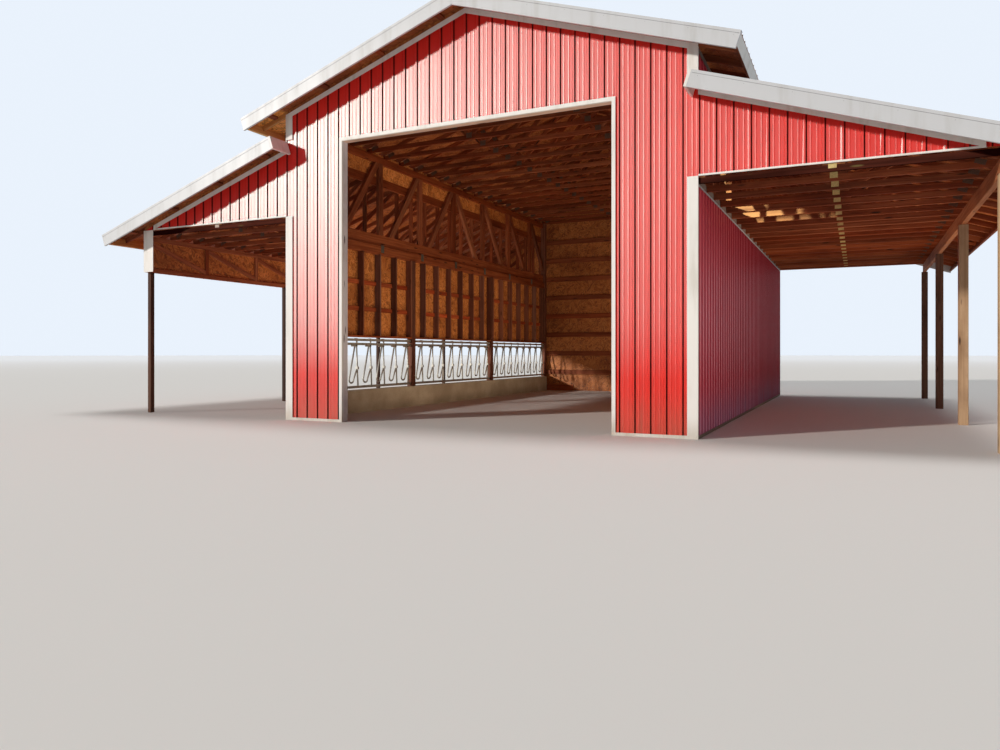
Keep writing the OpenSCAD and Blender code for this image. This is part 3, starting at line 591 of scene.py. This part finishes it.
def panels(name, material, seed, along, up):
    """A node's boarding cut into sheets of the usual size, in courses whose joints are staggered.

    The direction up is the one on the right half of the building, and is mirrored on the left."""
    half_gap = SHEET_GAP / 2
    whole = solids_of(name)
    made = bmesh.new()
    for group in list(islands(whole)):
        lone = bmesh.new()
        keep = {}
        for corner in group:
            keep[corner] = lone.verts.new(corner.co)
        for face in dict.fromkeys(face for corner in group for face in corner.link_faces):
            lone.faces.new([keep[corner] for corner in face.verts])
        left = max(corner.co.x for corner in group) < MERGE
        rise = Vector((-up.x, up.y, up.z)) if left else up
        spans = [[corner.co.dot(axis) for corner in group] for axis in (along, rise)]
        low = [min(span) for span in spans]
        high = [max(span) for span in spans]
        for course in range(math.ceil((high[1] - low[1]) / SHEET_W)):
            stagger = (course % 2) * SHEET_L / 2
            for step in range(math.ceil((high[0] - low[0] + stagger) / SHEET_L)):
                sheet = lone.copy()
                start = low[0] - stagger + step * SHEET_L
                foot = low[1] + course * SHEET_W
                cut_off(sheet, along * (start + half_gap), -along)
                cut_off(sheet, along * (start + SHEET_L - half_gap), along)
                cut_off(sheet, rise * (foot + half_gap), -rise)
                cut_off(sheet, rise * (foot + SHEET_W - half_gap), rise)
                scrap = bpy.data.meshes.new("scrap")
                sheet.to_mesh(scrap)
                sheet.free()
                made.from_mesh(scrap)
                bpy.data.meshes.remove(scrap)
        lone.free()
    whole.free()
    bmesh.ops.recalc_face_normals(made, faces=made.faces)
    lay_grain(made, seed)
    return finish_piece(name + "_sheets", made, material, name)


def joined(name, shapes, material, stands_for=(), smooth=False):
    """One piece of many small shapes, each a list of corners and a list of faces."""
    points = []
    loops = []
    for corners, faces in shapes:
        start = len(points)
        points.extend(corners)
        loops.extend([start + index for index in face] for face in faces)
    mesh = bpy.data.meshes.new(name)
    mesh.from_pydata(points, [], loops)
    mesh.validate()
    mesh.polygons.foreach_set("use_smooth", [smooth] * len(mesh.polygons))
    return add_piece(name, mesh, material, stands_for)


def moved(shape, matrix):
    return [matrix @ Vector(corner) for corner in shape[0]], shape[1]


def block(centre, size, turn=0.0):
    """A block about a centre, turned about Y."""
    corners = [(x, y, z) for x in (-0.5, 0.5) for y in (-0.5, 0.5) for z in (-0.5, 0.5)]
    faces = [(0, 1, 3, 2), (4, 6, 7, 5), (0, 4, 5, 1), (2, 3, 7, 6), (0, 2, 6, 4), (1, 5, 7, 3)]
    place_it = Matrix.Translation(centre) @ Matrix.Rotation(turn, 4, "Y") @ Matrix.Diagonal((*size, 1.0))
    return moved((corners, faces), place_it)


def bands(rings, sides):
    """Faces between neighbouring rings of corners."""
    faces = []
    for near in range(0, (rings - 1) * sides, sides):
        far = near + sides
        for k in range(sides):
            after = (k + 1) % sides
            faces.append((near + k, near + after, far + after, far + k))
    return faces


def lathe(outline, sides):
    """A turned shape about Z with a flat top, from radii and heights."""
    turns = [2 * math.pi * k / sides for k in range(sides)]
    corners = [(r * math.cos(turn), r * math.sin(turn), z) for r, z in outline for turn in turns]
    top = range(len(corners) - sides, len(corners))
    return corners, bands(len(outline), sides) + [tuple(top)]


def tube(path, radius, sides=10):
    """A round bar along a path that lies in a plane square to X."""
    corners = []
    for index, point in enumerate(path):
        before = path[max(index - 1, 0)]
        after = path[min(index + 1, len(path) - 1)]
        along = (after - before).normalized()
        across = along.cross(ALONG_X)
        for k in range(sides):
            angle = 2 * math.pi * k / sides
            corners.append(point + (ALONG_X * math.cos(angle) + across * math.sin(angle)) * radius)
    start = tuple(reversed(range(sides)))
    end = tuple(range(len(corners) - sides, len(corners)))
    return corners, bands(len(path), sides) + [start, end]


def thin_trim(name, material, seed):
    """A trim with its front set back, so that the fold and the screws on it stay within the node's box."""
    made = boards(name, material, seed, 0.0)
    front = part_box(name)[1].y - MERGE
    for corner in made.data.vertices:
        if abs(corner.co.y) > front:
            corner.co.y -= math.copysign(FOLD_T, corner.co.y)


def plain(name, material):
    """A node that keeps its own mesh and gets a finished material."""
    thing = nodes[name]
    thing.data.materials.clear()
    thing.data.materials.append(material)


# Dressing of the nodes

FRONT_RED_NODES = ("front_siding", "front_siding_over_door", "shed_gable_siding", "rear_siding")


def is_lining(group):
    """Whether a solid of the door's frame is one of the thin boards that line the doorway."""
    spans = [[corner.co[axis] for corner in group] for axis in (0, 2)]
    return any(max(span) - min(span) < LINING_T for span in spans)


def is_front(group):
    """Whether a solid of the shed trusses' ties stands in the front wall."""
    return max(corner.co.y for corner in group) < -HALF_D + CHORD_D


def is_left(group):
    return max(corner.co.x for corner in group) < 0.0


def is_rear(group):
    return min(corner.co.y for corner in group) > 0.0


def is_middle(group):
    return max(abs(corner.co.y) for corner in group) < HALF_D / 2


def is_wall_strip(group):
    """Whether a solid of the panel edges' trim runs along a side wall."""
    along = [corner.co.y for corner in group]
    return min(along) < -HALF_D / 2 and max(along) > HALF_D / 2


for index, (name, material) in enumerate((
    ("side_headers", FRAME_TIMBER), ("girder_chords", FRAME_TIMBER), ("girder_webs", WEB_TIMBER),
    ("wall_sills", FRAME_TIMBER), ("wall_studs", STUD_TIMBER), ("wall_blocking", BLOCK_TIMBER),
    ("wall_girts", TRUSS_TIMBER), ("wall_posts", STUD_TIMBER), ("left_eave_truss", WEB_TIMBER),
    ("main_rafters_right", TRUSS_TIMBER), ("main_ties", TRUSS_TIMBER),
    ("main_webs", TRUSS_TIMBER), ("shed_rafters", TRUSS_TIMBER), ("shed_webs", TRUSS_TIMBER),
    ("rake_lookouts", TRUSS_TIMBER),
)):
    boards(name, material, index)
# The front left rafter and the left eave fascia get painted bounce light from below
boards("main_rafters_left", TRUSS_TIMBER, 27, others=[(BOUNCE_LIT_TIMBER, is_front)])
boards("eave_fascias", TRUSS_TIMBER, 28, others=[(BOUNCE_LIT_TIMBER, is_left)])
boards("shed_ties", TRUSS_TIMBER, 29, others=[(SHADED_TIMBER, is_front)])
boards("door_header", FRAME_TIMBER, 30, others=[(LINING, is_lining)])
# Right posts: the front one in painted sunlight, the next one half in painted shade, the rear ones in painted
# shade; the slim left ones are much darker
boards("eave_posts", POST_TIMBER, 31, EASED_POST, [
    (SLIM_TIMBER, is_left), (SHADED_REAR_POST_TIMBER, is_rear), (HALF_SHADED_POST_TIMBER, is_middle),
])
boards("right_eave_beam", BEAM_TIMBER, 32, EASED_POST)
boards("rake_fascias", RAKE_WHITE, 33)

panels("gable_sheathing", WALL_BOARD, 60, ALONG_X, UP)
panels("side_sheathing", WALL_BOARD, 61, ALONG_Y, UP)
for index, name in enumerate(("main_deck_right", "main_deck_left")):
    panels(name, ROOF_BOARD, 62 + index, ALONG_Y, DOWN_RIGHT)
panels("shed_decks", SHED_ROOF_BOARD, 64, ALONG_Y, DOWN_RIGHT)

for name in FRONT_RED_NODES:
    plain(name, RED)
# The side walls take the red paint's copy with painted sky light
plain("side_siding", SKY_TINTED_SIDE_RED)
for name in ("door_trim", "corner_trims", "wall_rake_trims", "shed_roof_top_trims", "eave_trims"):
    plain(name, WHITE)
boards("panel_edge_trims", WHITE, 34, 0.0, [(SHADED_TRIM, is_wall_strip)])
thin_trim("rake_trims", RAKE_WHITE, 35)
for name in ("main_roofing", "shed_roofing", "ridge_cap"):
    plain(name, ROOF)
plain("headlock_rails", ZINC)
plain("feed_kerb", CONCRETE)


# Small steel pieces

# Height and outline of a screw's head and washer, and where the screws stand: on the sheet beside each rib,
# in rows on the girts, near the edges of the panels and across the roofs
SCREW_H = 0.006
SCREW = lathe(((0.0075, 0.0), (0.0075, 0.0015), (0.0045, 0.0018), (0.0042, SCREW_H)), 6)
PAN_OUT = RIB_H - SHEET_T
DECK_T = 0.011
BESIDE_RIB = 0.045
RIB_CLEAR = 0.01
ROW_ABOVE_FOOT = 0.06
ROW_BELOW_TOP = 0.12
ROW_CLEAR = 0.2
ROW_BELOW_SHED = 0.1
STRIP_ROW_DROP = 0.35
ROOF_OUT = 0.3
MAIN_ROOF_ROW = 0.3
SHED_ROOF_ROW = 0.2
ROOF_SCREW_PITCH = 0.6
GIRT_ROWS = 12
TO_FRONT = Matrix.Rotation(math.pi / 2, 4, "X")
TO_BACK = Matrix.Rotation(-math.pi / 2, 4, "X")
TO_RIGHT = Matrix.Rotation(math.pi / 2, 4, "Y")
TO_LEFT = Matrix.Rotation(-math.pi / 2, 4, "Y")


def roof_line(rafters, start, x):
    """Height of a roof's sheathing's underside at x, from the rafters' top at start."""
    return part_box(rafters)[1].z - (x - start) * math.tan(SLOPE)


def main_top(x):
    return roof_line("main_rafters_right", 0.0, abs(x))


def shed_top(x):
    return roof_line("shed_rafters", HALF_W, min(abs(x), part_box("shed_rafters")[1].x))


def ribs(low, high):
    """Distances of the screws beside the ribs between two limits."""
    first = math.ceil((low - BESIDE_RIB + RIB_CLEAR) / RIB_PITCH)
    last = math.floor((high - BESIDE_RIB - RIB_CLEAR) / RIB_PITCH)
    return [k * RIB_PITCH + BESIDE_RIB for k in range(first, last + 1)]


def rows(low, high):
    """Heights of the rows of screws between two heights, on the girts and near the two edges."""
    girts = [GIRT_FIRST + k * GIRT_SPACING for k in range(GIRT_ROWS)]
    inner = [z for z in girts if low + ROW_CLEAR < z < high - ROW_CLEAR]
    return [low + ROW_ABOVE_FOOT] + inner + [high - ROW_BELOW_TOP]


def wall_screws():
    door_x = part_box("door_header")[1].x
    door_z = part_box("front_siding_over_door")[0].z
    shed_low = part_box("shed_gable_siding")[0].z
    shed_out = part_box("shed_gable_siding")[1].x
    face = HALF_D - PAN_OUT
    for x in ribs(-HALF_W, HALF_W):
        low = door_z if abs(x) < door_x else PANEL_FOOT
        for z in rows(low, main_top(x) - EDGE_GAP):
            yield Matrix.Translation((x, -face, z)) @ TO_FRONT
        for z in rows(PANEL_FOOT, main_top(x) - EDGE_GAP):
            yield Matrix.Translation((x, face, z)) @ TO_BACK
    for x in ribs(HALF_W, shed_out):
        for side in (-1, 1):
            if shed_top(x) - EDGE_GAP - ROW_CLEAR > shed_low:
                for z in rows(shed_low, shed_top(x) - EDGE_GAP):
                    yield Matrix.Translation((side * x, -face, z)) @ TO_FRONT
                    yield Matrix.Translation((side * x, face, z)) @ TO_BACK
    face = HALF_W - PAN_OUT
    wall_top = shed_low - ROW_BELOW_SHED
    strip_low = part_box("side_sheathing")[1].z - STRIP_ROW_DROP
    for y in ribs(-HALF_D + EDGE_GAP, HALF_D - EDGE_GAP):
        for z in rows(PANEL_FOOT, wall_top) + [strip_low]:
            yield Matrix.Translation((face, y, z)) @ TO_RIGHT
        for z in rows(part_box("wall_sills")[1].z, wall_top) + [strip_low]:
            yield Matrix.Translation((-face, y, z)) @ TO_LEFT


def roof_screws():
    above = (DECK_T + SHEET_T) / math.cos(SLOPE)
    for roofing, rafters, inner, start in (
        ("main_roofing", "main_rafters_right", 0.0, MAIN_ROOF_ROW),
        ("shed_roofing", "shed_rafters", HALF_W, HALF_W + SHED_ROOF_ROW),
    ):
        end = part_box(roofing)[1].x
        steps = round((end - start) / ROOF_SCREW_PITCH)
        for side in (-1, 1):
            tilt = Matrix.Rotation(side * SLOPE, 4, "Y")
            for y in ribs(-HALF_D - ROOF_OUT, HALF_D + ROOF_OUT):
                for step in range(steps + 1):
                    x = start + (end - ROW_BELOW_TOP - start) * step / steps
                    yield Matrix.Translation((side * x, y, roof_line(rafters, inner, x) + above)) @ tilt


def rakes():
    """Each sloping trim's side, end, start and finish across, and its top height over the middle."""
    low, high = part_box("rake_trims")
    for side in (-1, 1):
        for end in (low.y, high.y):
            yield side, end, RAKE_END, HALF_W + EAVE_OUT - RAKE_END, high.z
            yield side, end, HALF_W, high.x - RAKE_END, SHED_RAKE_TOP + HALF_W * math.tan(SLOPE)


def rake_screws():
    """Screws whose heads end flush with the front of the node's box, drawn grey as painted shade."""
    for side, end, start, finish, top in rakes():
        count = round((finish - start) / RAKE_SCREW_PITCH)
        sunk = end - math.copysign(SCREW_H, end)
        for step in range(count + 1):
            x = start + RAKE_SCREW_END + (finish - start - 2 * RAKE_SCREW_END) * step / count
            at = Matrix.Translation((side * x, sunk, top - x * math.tan(SLOPE) - RAKE_SCREW_DROP))
            yield at @ (TO_FRONT if end < 0 else TO_BACK)


def rake_hems():
    """The fold that runs along each sloping trim a third of the way down, as a grey line of painted shade."""
    for side, end, start, finish, top in rakes():
        middle = (start + finish) / 2
        height = top - middle * math.tan(SLOPE) - FOLD_DROP
        length = (finish - start) / math.cos(SLOPE) - RAKE_END / 2
        at = (side * middle, end - math.copysign(FOLD_T / 2, end), height)
        yield block(at, (length, FOLD_T, FOLD_W), side * SLOPE)


joined("wall_screws", (moved(SCREW, at) for at in wall_screws()), RED)
joined("roof_screws", (moved(SCREW, at) for at in roof_screws()), ROOF)
joined("rake_screws", (moved(SCREW, at) for at in rake_screws()), HEM_SHADE_GREY)
joined("rake_hems", rake_hems(), HEM_SHADE_GREY)


def truss_places():
    low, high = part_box("main_ties")
    step = (high.y - low.y - BOARD_T) / (TRUSS_COUNT - 1)
    return [low.y + BOARD_T / 2 + k * step for k in range(TRUSS_COUNT)]


def truss_plates(bright):
    """Toothed plates on both faces of the trusses' joints: the right shed's row in painted sunlight, or the
    rest.

    Each spot is a place across, a height, a plate's width and height, and its tilt."""
    tie_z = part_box("main_ties")[0].z
    shed_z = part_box("shed_ties")[0].z
    shed_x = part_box("shed_ties")[1].x
    joint = HALF_W + (shed_x - HALF_W) * JOINT_SHARE
    spots = []
    for side in (-1, 1):
        tilt = side * SLOPE
        if bright == (side > 0):
            spots.append((side * joint, shed_z + 0.08, 0.10, 0.08, 0.0))
        if not bright:
            spots.append((side * HALF_W / 3, tie_z + 0.085, 0.12, 0.10, 0.0))
            spots.append((side * HALF_W / 2, main_top(HALF_W / 2) - 0.09, 0.12, 0.08, tilt))
            spots.append((side * (HALF_W - 0.22), tie_z + 0.09, 0.14, 0.08, tilt))
            spots.append((side * (shed_x - 0.25), shed_z + 0.08, 0.13, 0.07, tilt))
    if not bright:
        spots.append((0.0, main_top(0.0) - 0.11, 0.16, 0.12, 0.0))
    for y in truss_places():
        for x, z, width, height, tilt in spots:
            if abs(x) > joint + 1.0 and abs(y) > HALF_D - CHORD_D:
                continue
            for face in (-1, 1):
                yield block((x, y + face * (BOARD_T + PLATE_T) / 2, z), (width, PLATE_T, height), tilt)


def panel_edge_faces():
    """Front faces of the narrow trim under the shed panels' lower edges."""
    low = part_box("shed_gable_siding")[0].z
    inner = HALF_W + EDGE_START
    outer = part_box("shed_gable_siding")[1].x - EDGE_SHORT
    for side in (-1, 1):
        for end in (-1, 1):
            at = (side * (inner + outer) / 2, end * (HALF_D + EDGE_OUT), low + EDGE_FACE / 2)
            yield block(at, (outer - inner, FOLD_T, EDGE_FACE))


def wall_lips():
    """The lip of the trim along the top of each side wall, just under the sheds' ties; its grey is painted
    shade.
    """
    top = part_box("shed_ties")[0].z - LIP_GAP
    size = (FOLD_T, 2 * (HALF_D - WALL_LIP), WALL_LIP)
    for side in (-1, 1):
        yield block((side * (HALF_W + FOLD_T), 0.0, top - WALL_LIP / 2), size)


def girder_brackets():
    """Steel angles that tie the girders' uprights to the headers below them."""
    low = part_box("girder_chords")[0].z
    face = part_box("wall_posts")[1].x - 3 * BOARD_T
    for side in (-1, 1):
        for k in range(-GIRDER_BAYS, GIRDER_BAYS + 1):
            y = k * GIRDER_BAY
            plate = (side * (face - BRACKET_T / 2), y, low - BRACKET_DROP)
            yield block(plate, (BRACKET_T, BRACKET_W, BRACKET_H))
            leg = (side * (face + BRACKET_LEG / 2), y, low + BRACKET_T / 2)
            yield block(leg, (BRACKET_LEG, BRACKET_W, BRACKET_T))


# The other plates in painted shade
joined("truss_plates", truss_plates(False), SHADED_PLATE_ZINC)
# The right shed's row of plates drawn in painted sunlight
joined("sunlit_truss_plates", truss_plates(True), SUNLIT_PAINTED_ZINC)
joined("girder_brackets", girder_brackets(), DULL_ZINC)
joined("panel_edge_faces", panel_edge_faces(), WHITE)
# The lips take the greyer white as painted shade
joined("wall_lips", wall_lips(), RAKE_WHITE)


def lock_places():
    """Middles of the headlocks along the feed front."""
    posts = [-HALF_D + k * 2 * HALF_D / BAYS - POST_D / 2 for k in range(1, BAYS)]
    ends = [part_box("headlock_rails")[0].y] + [y + POST_D for y in posts]
    stops = posts + [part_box("headlock_rails")[1].y]
    for start, stop in zip(ends, stops):
        step = (stop - start) / LOCKS_PER_BAY
        for k in range(LOCKS_PER_BAY):
            yield start + (k + 0.5) * step


def lock_bars():
    """Each headlock's slanting bar, bent round at its foot, and its upright bar."""
    low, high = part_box("headlock_bars")
    x = (low.x + high.x) / 2
    angles = [math.pi * k / ARC_STEPS for k in range(ARC_STEPS + 1)]
    for middle in lock_places():
        lean = middle + BAR_LEAN / 2
        head = Vector((x, lean - SLANT_HEAD, high.z))
        foot = Vector((x, middle - BAR_LEAN / 2, low.z + LOCK_FOOT + LOCK_BEND))
        joint = Vector((x, lean + JOINT_OUT, low.z + LOCK_JOINT))
        bend = Vector((x, foot.y + LOCK_BEND, foot.z))
        arc = [bend - Vector((0, math.cos(angle), math.sin(angle))) * LOCK_BEND for angle in angles]
        yield tube([head, foot + (head - foot) * 0.03] + arc + [joint], BAR_R)
        top = Vector((x, lean + BAR_R, high.z))
        yield tube([Vector((x, lean + UPRIGHT_FOOT, low.z)), joint, top], BAR_R)


def lock_fittings():
    """Latch plates under the latch rail, clamps on the top rail and collars where the bars meet."""
    rail_low, rail_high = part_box("headlock_rails")
    bars_low, bars_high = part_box("headlock_bars")
    x = (rail_low.x + rail_high.x) / 2
    inside = rail_high.x + LATCH[0] / 2
    for middle in lock_places():
        lean = middle + BAR_LEAN / 2
        yield block((inside, lean - LATCH[1] / 2, bars_high.z - LATCH_DROP), LATCH)
        yield block((inside, lean - HANGER_BACK, rail_high.z - HANGER_DROP), HANGER)
        yield block((x, lean + JOINT_OUT, bars_low.z + LOCK_JOINT), COLLAR)
        yield block((x, lean, rail_high.z + CLAMP[2] / 2), CLAMP)


joined("lock_bars", lock_bars(), ZINC, ("headlock_bars",), True)
joined("lock_fittings", lock_fittings(), ZINC)


# Stage, light and camera

def floor():
    """A plain pale floor that goes over into the background far beyond the building."""
    reach = 400.0
    bpy.ops.mesh.primitive_circle_add(vertices=96, radius=reach, fill_type="NGON", location=(0, 0, 0))
    ground = bpy.context.object
    ground.name = "floor"
    material, tree, shader = new_material("floor_matt", Roughness=0.9)
    away = node(tree, "VectorMath", {0: place(tree)}, operation="LENGTH").outputs["Value"]
    colour = mix(tree, ramp(tree, away, 20.0, 160.0), rgb(0.75, 0.73, 0.70), rgb(0.95, 0.97, 1.0))
    feed(tree, shader, Base_Color=colour)
    ground.data.materials.append(material)


def light_link(holder, names, state="INCLUDE"):
    """Keeps a lamp's light to some pieces, or off them."""
    group = bpy.data.collections.new(holder.name + "_receivers")
    for name in names:
        group.objects.link(nodes.get(name) or bpy.data.objects[name])
    for linked in group.collection_objects:
        linked.light_linking.link_state = state
    holder.light_linking.receiver_collection = group


def sun(name, towards, strength, spread, colour=(1.0, 1.0, 1.0)):
    """A sun lamp seen in the direction towards, with soft shadows of that angular spread."""
    lamp = bpy.data.lights.new(name, "SUN")
    lamp.energy = strength
    lamp.angle = math.radians(spread)
    lamp.color = colour
    holder = bpy.data.objects.new(name, lamp)
    holder.rotation_mode = "QUATERNION"
    holder.rotation_quaternion = Vector(towards).to_track_quat("Z", "Y")
    bpy.context.scene.collection.objects.link(holder)
    return holder


def softbox(name, at, aim, size, power, colour=(1.0, 1.0, 1.0)):
    lamp = bpy.data.lights.new(name, "AREA")
    lamp.energy = power
    lamp.size = size
    lamp.color = colour
    holder = bpy.data.objects.new(name, lamp)
    holder.location = at
    holder.rotation_mode = "QUATERNION"
    holder.rotation_quaternion = (Vector(at) - Vector(aim)).to_track_quat("Z", "Y")
    bpy.context.scene.collection.objects.link(holder)
    return holder


def bounce(name, at, aim, size, power):
    """Warm light thrown back by the ground, from a lamp that isn't seen itself."""
    holder = softbox(name, at, aim, size, power, (1.0, 0.84, 0.62))
    holder.visible_camera = False
    holder.visible_glossy = False
    return holder


def sky():
    """Even light from all round, and a pale background for the camera and for reflections."""
    world = bpy.data.worlds.new("pale_sky")
    bpy.context.scene.world = world
    world.use_nodes = True
    tree = world.node_tree
    path = node(tree, "LightPath")
    seen = math_node(tree, "MAXIMUM", path.outputs["Is Camera Ray"], path.outputs["Is Glossy Ray"])
    seen = math_node(tree, "MAXIMUM", seen, path.outputs["Is Transmission Ray"])
    ambient = node(tree, "Background", {"Color": rgb(0.93, 0.96, 1.0), "Strength": 0.16})
    backdrop = node(tree, "Background", {"Color": rgb(0.82, 0.89, 0.98), "Strength": 1.0})
    both = node(tree, "MixShader", {0: seen, 1: ambient.outputs[0], 2: backdrop.outputs[0]})
    tree.links.new(both.outputs[0], tree.nodes["World Output"].inputs["Surface"])


def camera():
    lens = bpy.data.cameras.new("camera")
    lens.lens = CAMERA_LENS
    lens.sensor_width = CAMERA_SENSOR
    lens.shift_y = CAMERA_SHIFT_Y
    lens.clip_end = 500.0
    holder = bpy.data.objects.new("camera", lens)
    holder.location = CAMERA_AT
    holder.rotation_euler = (math.pi / 2, 0.0, CAMERA_TURN)
    bpy.context.scene.collection.objects.link(holder)
    bpy.context.scene.camera = holder


floor()
sky()
sun("key", KEY_FROM, strength=2.9, spread=3.0, colour=(1.0, 0.95, 0.88))
sun("overhead", (0.1, 0.1, 1.0), strength=1.25, spread=20.0)
sheen = sun("sheen", KEY_FROM, strength=6.2, spread=4.0, colour=(0.36, 1.0, 0.90))
sheen.visible_diffuse = False
light_link(sheen, FRONT_RED_NODES)
side_at = (10.5, -8.0, 3.5)
side_aim = (HALF_W, -1.5, 2.0)
side_fill = softbox("side_fill", side_at, side_aim, size=6.0, power=190.0, colour=(0.78, 0.86, 1.0))
light_link(side_fill, ["side_siding"])
patches = sun("shed_patches", KEY_FROM, strength=16.0, spread=1.5, colour=(0.55, 1.0, 0.70))
light_link(patches, ["shed_ties_boards", "shed_webs_boards", "shed_rafters_boards", "shed_decks_sheets"])
for name, at, aim, size, power in (
    ("bounce_aisle_front", (0.0, -3.4, 0.15), (0.0, -3.0, 4.0), 4.5, 105.0),
    ("bounce_aisle_back", (0.0, 2.4, 0.15), (0.0, 2.8, 4.0), 4.5, 75.0),
    ("bounce_left", (-5.5, -1.0, 0.15), (-5.5, -0.6, 4.0), 3.2, 98.0),
    ("bounce_right", (5.5, -1.0, 0.15), (5.5, -0.6, 4.0), 3.2, 112.0),
):
    light_link(bounce(name, at, aim, size, power), ["side_siding", "eave_posts_boards"], "EXCLUDE")
wall_fill = bounce("left_wall_fill", (2.6, -1.0, 1.2), (-HALF_W, -0.6, 2.3), size=3.5, power=170.0)
light_link(wall_fill, ["side_sheathing_sheets", "wall_studs_boards", "wall_blocking_boards", "feed_kerb"])
camera()
bpy.context.scene.view_settings.view_transform = "Standard"
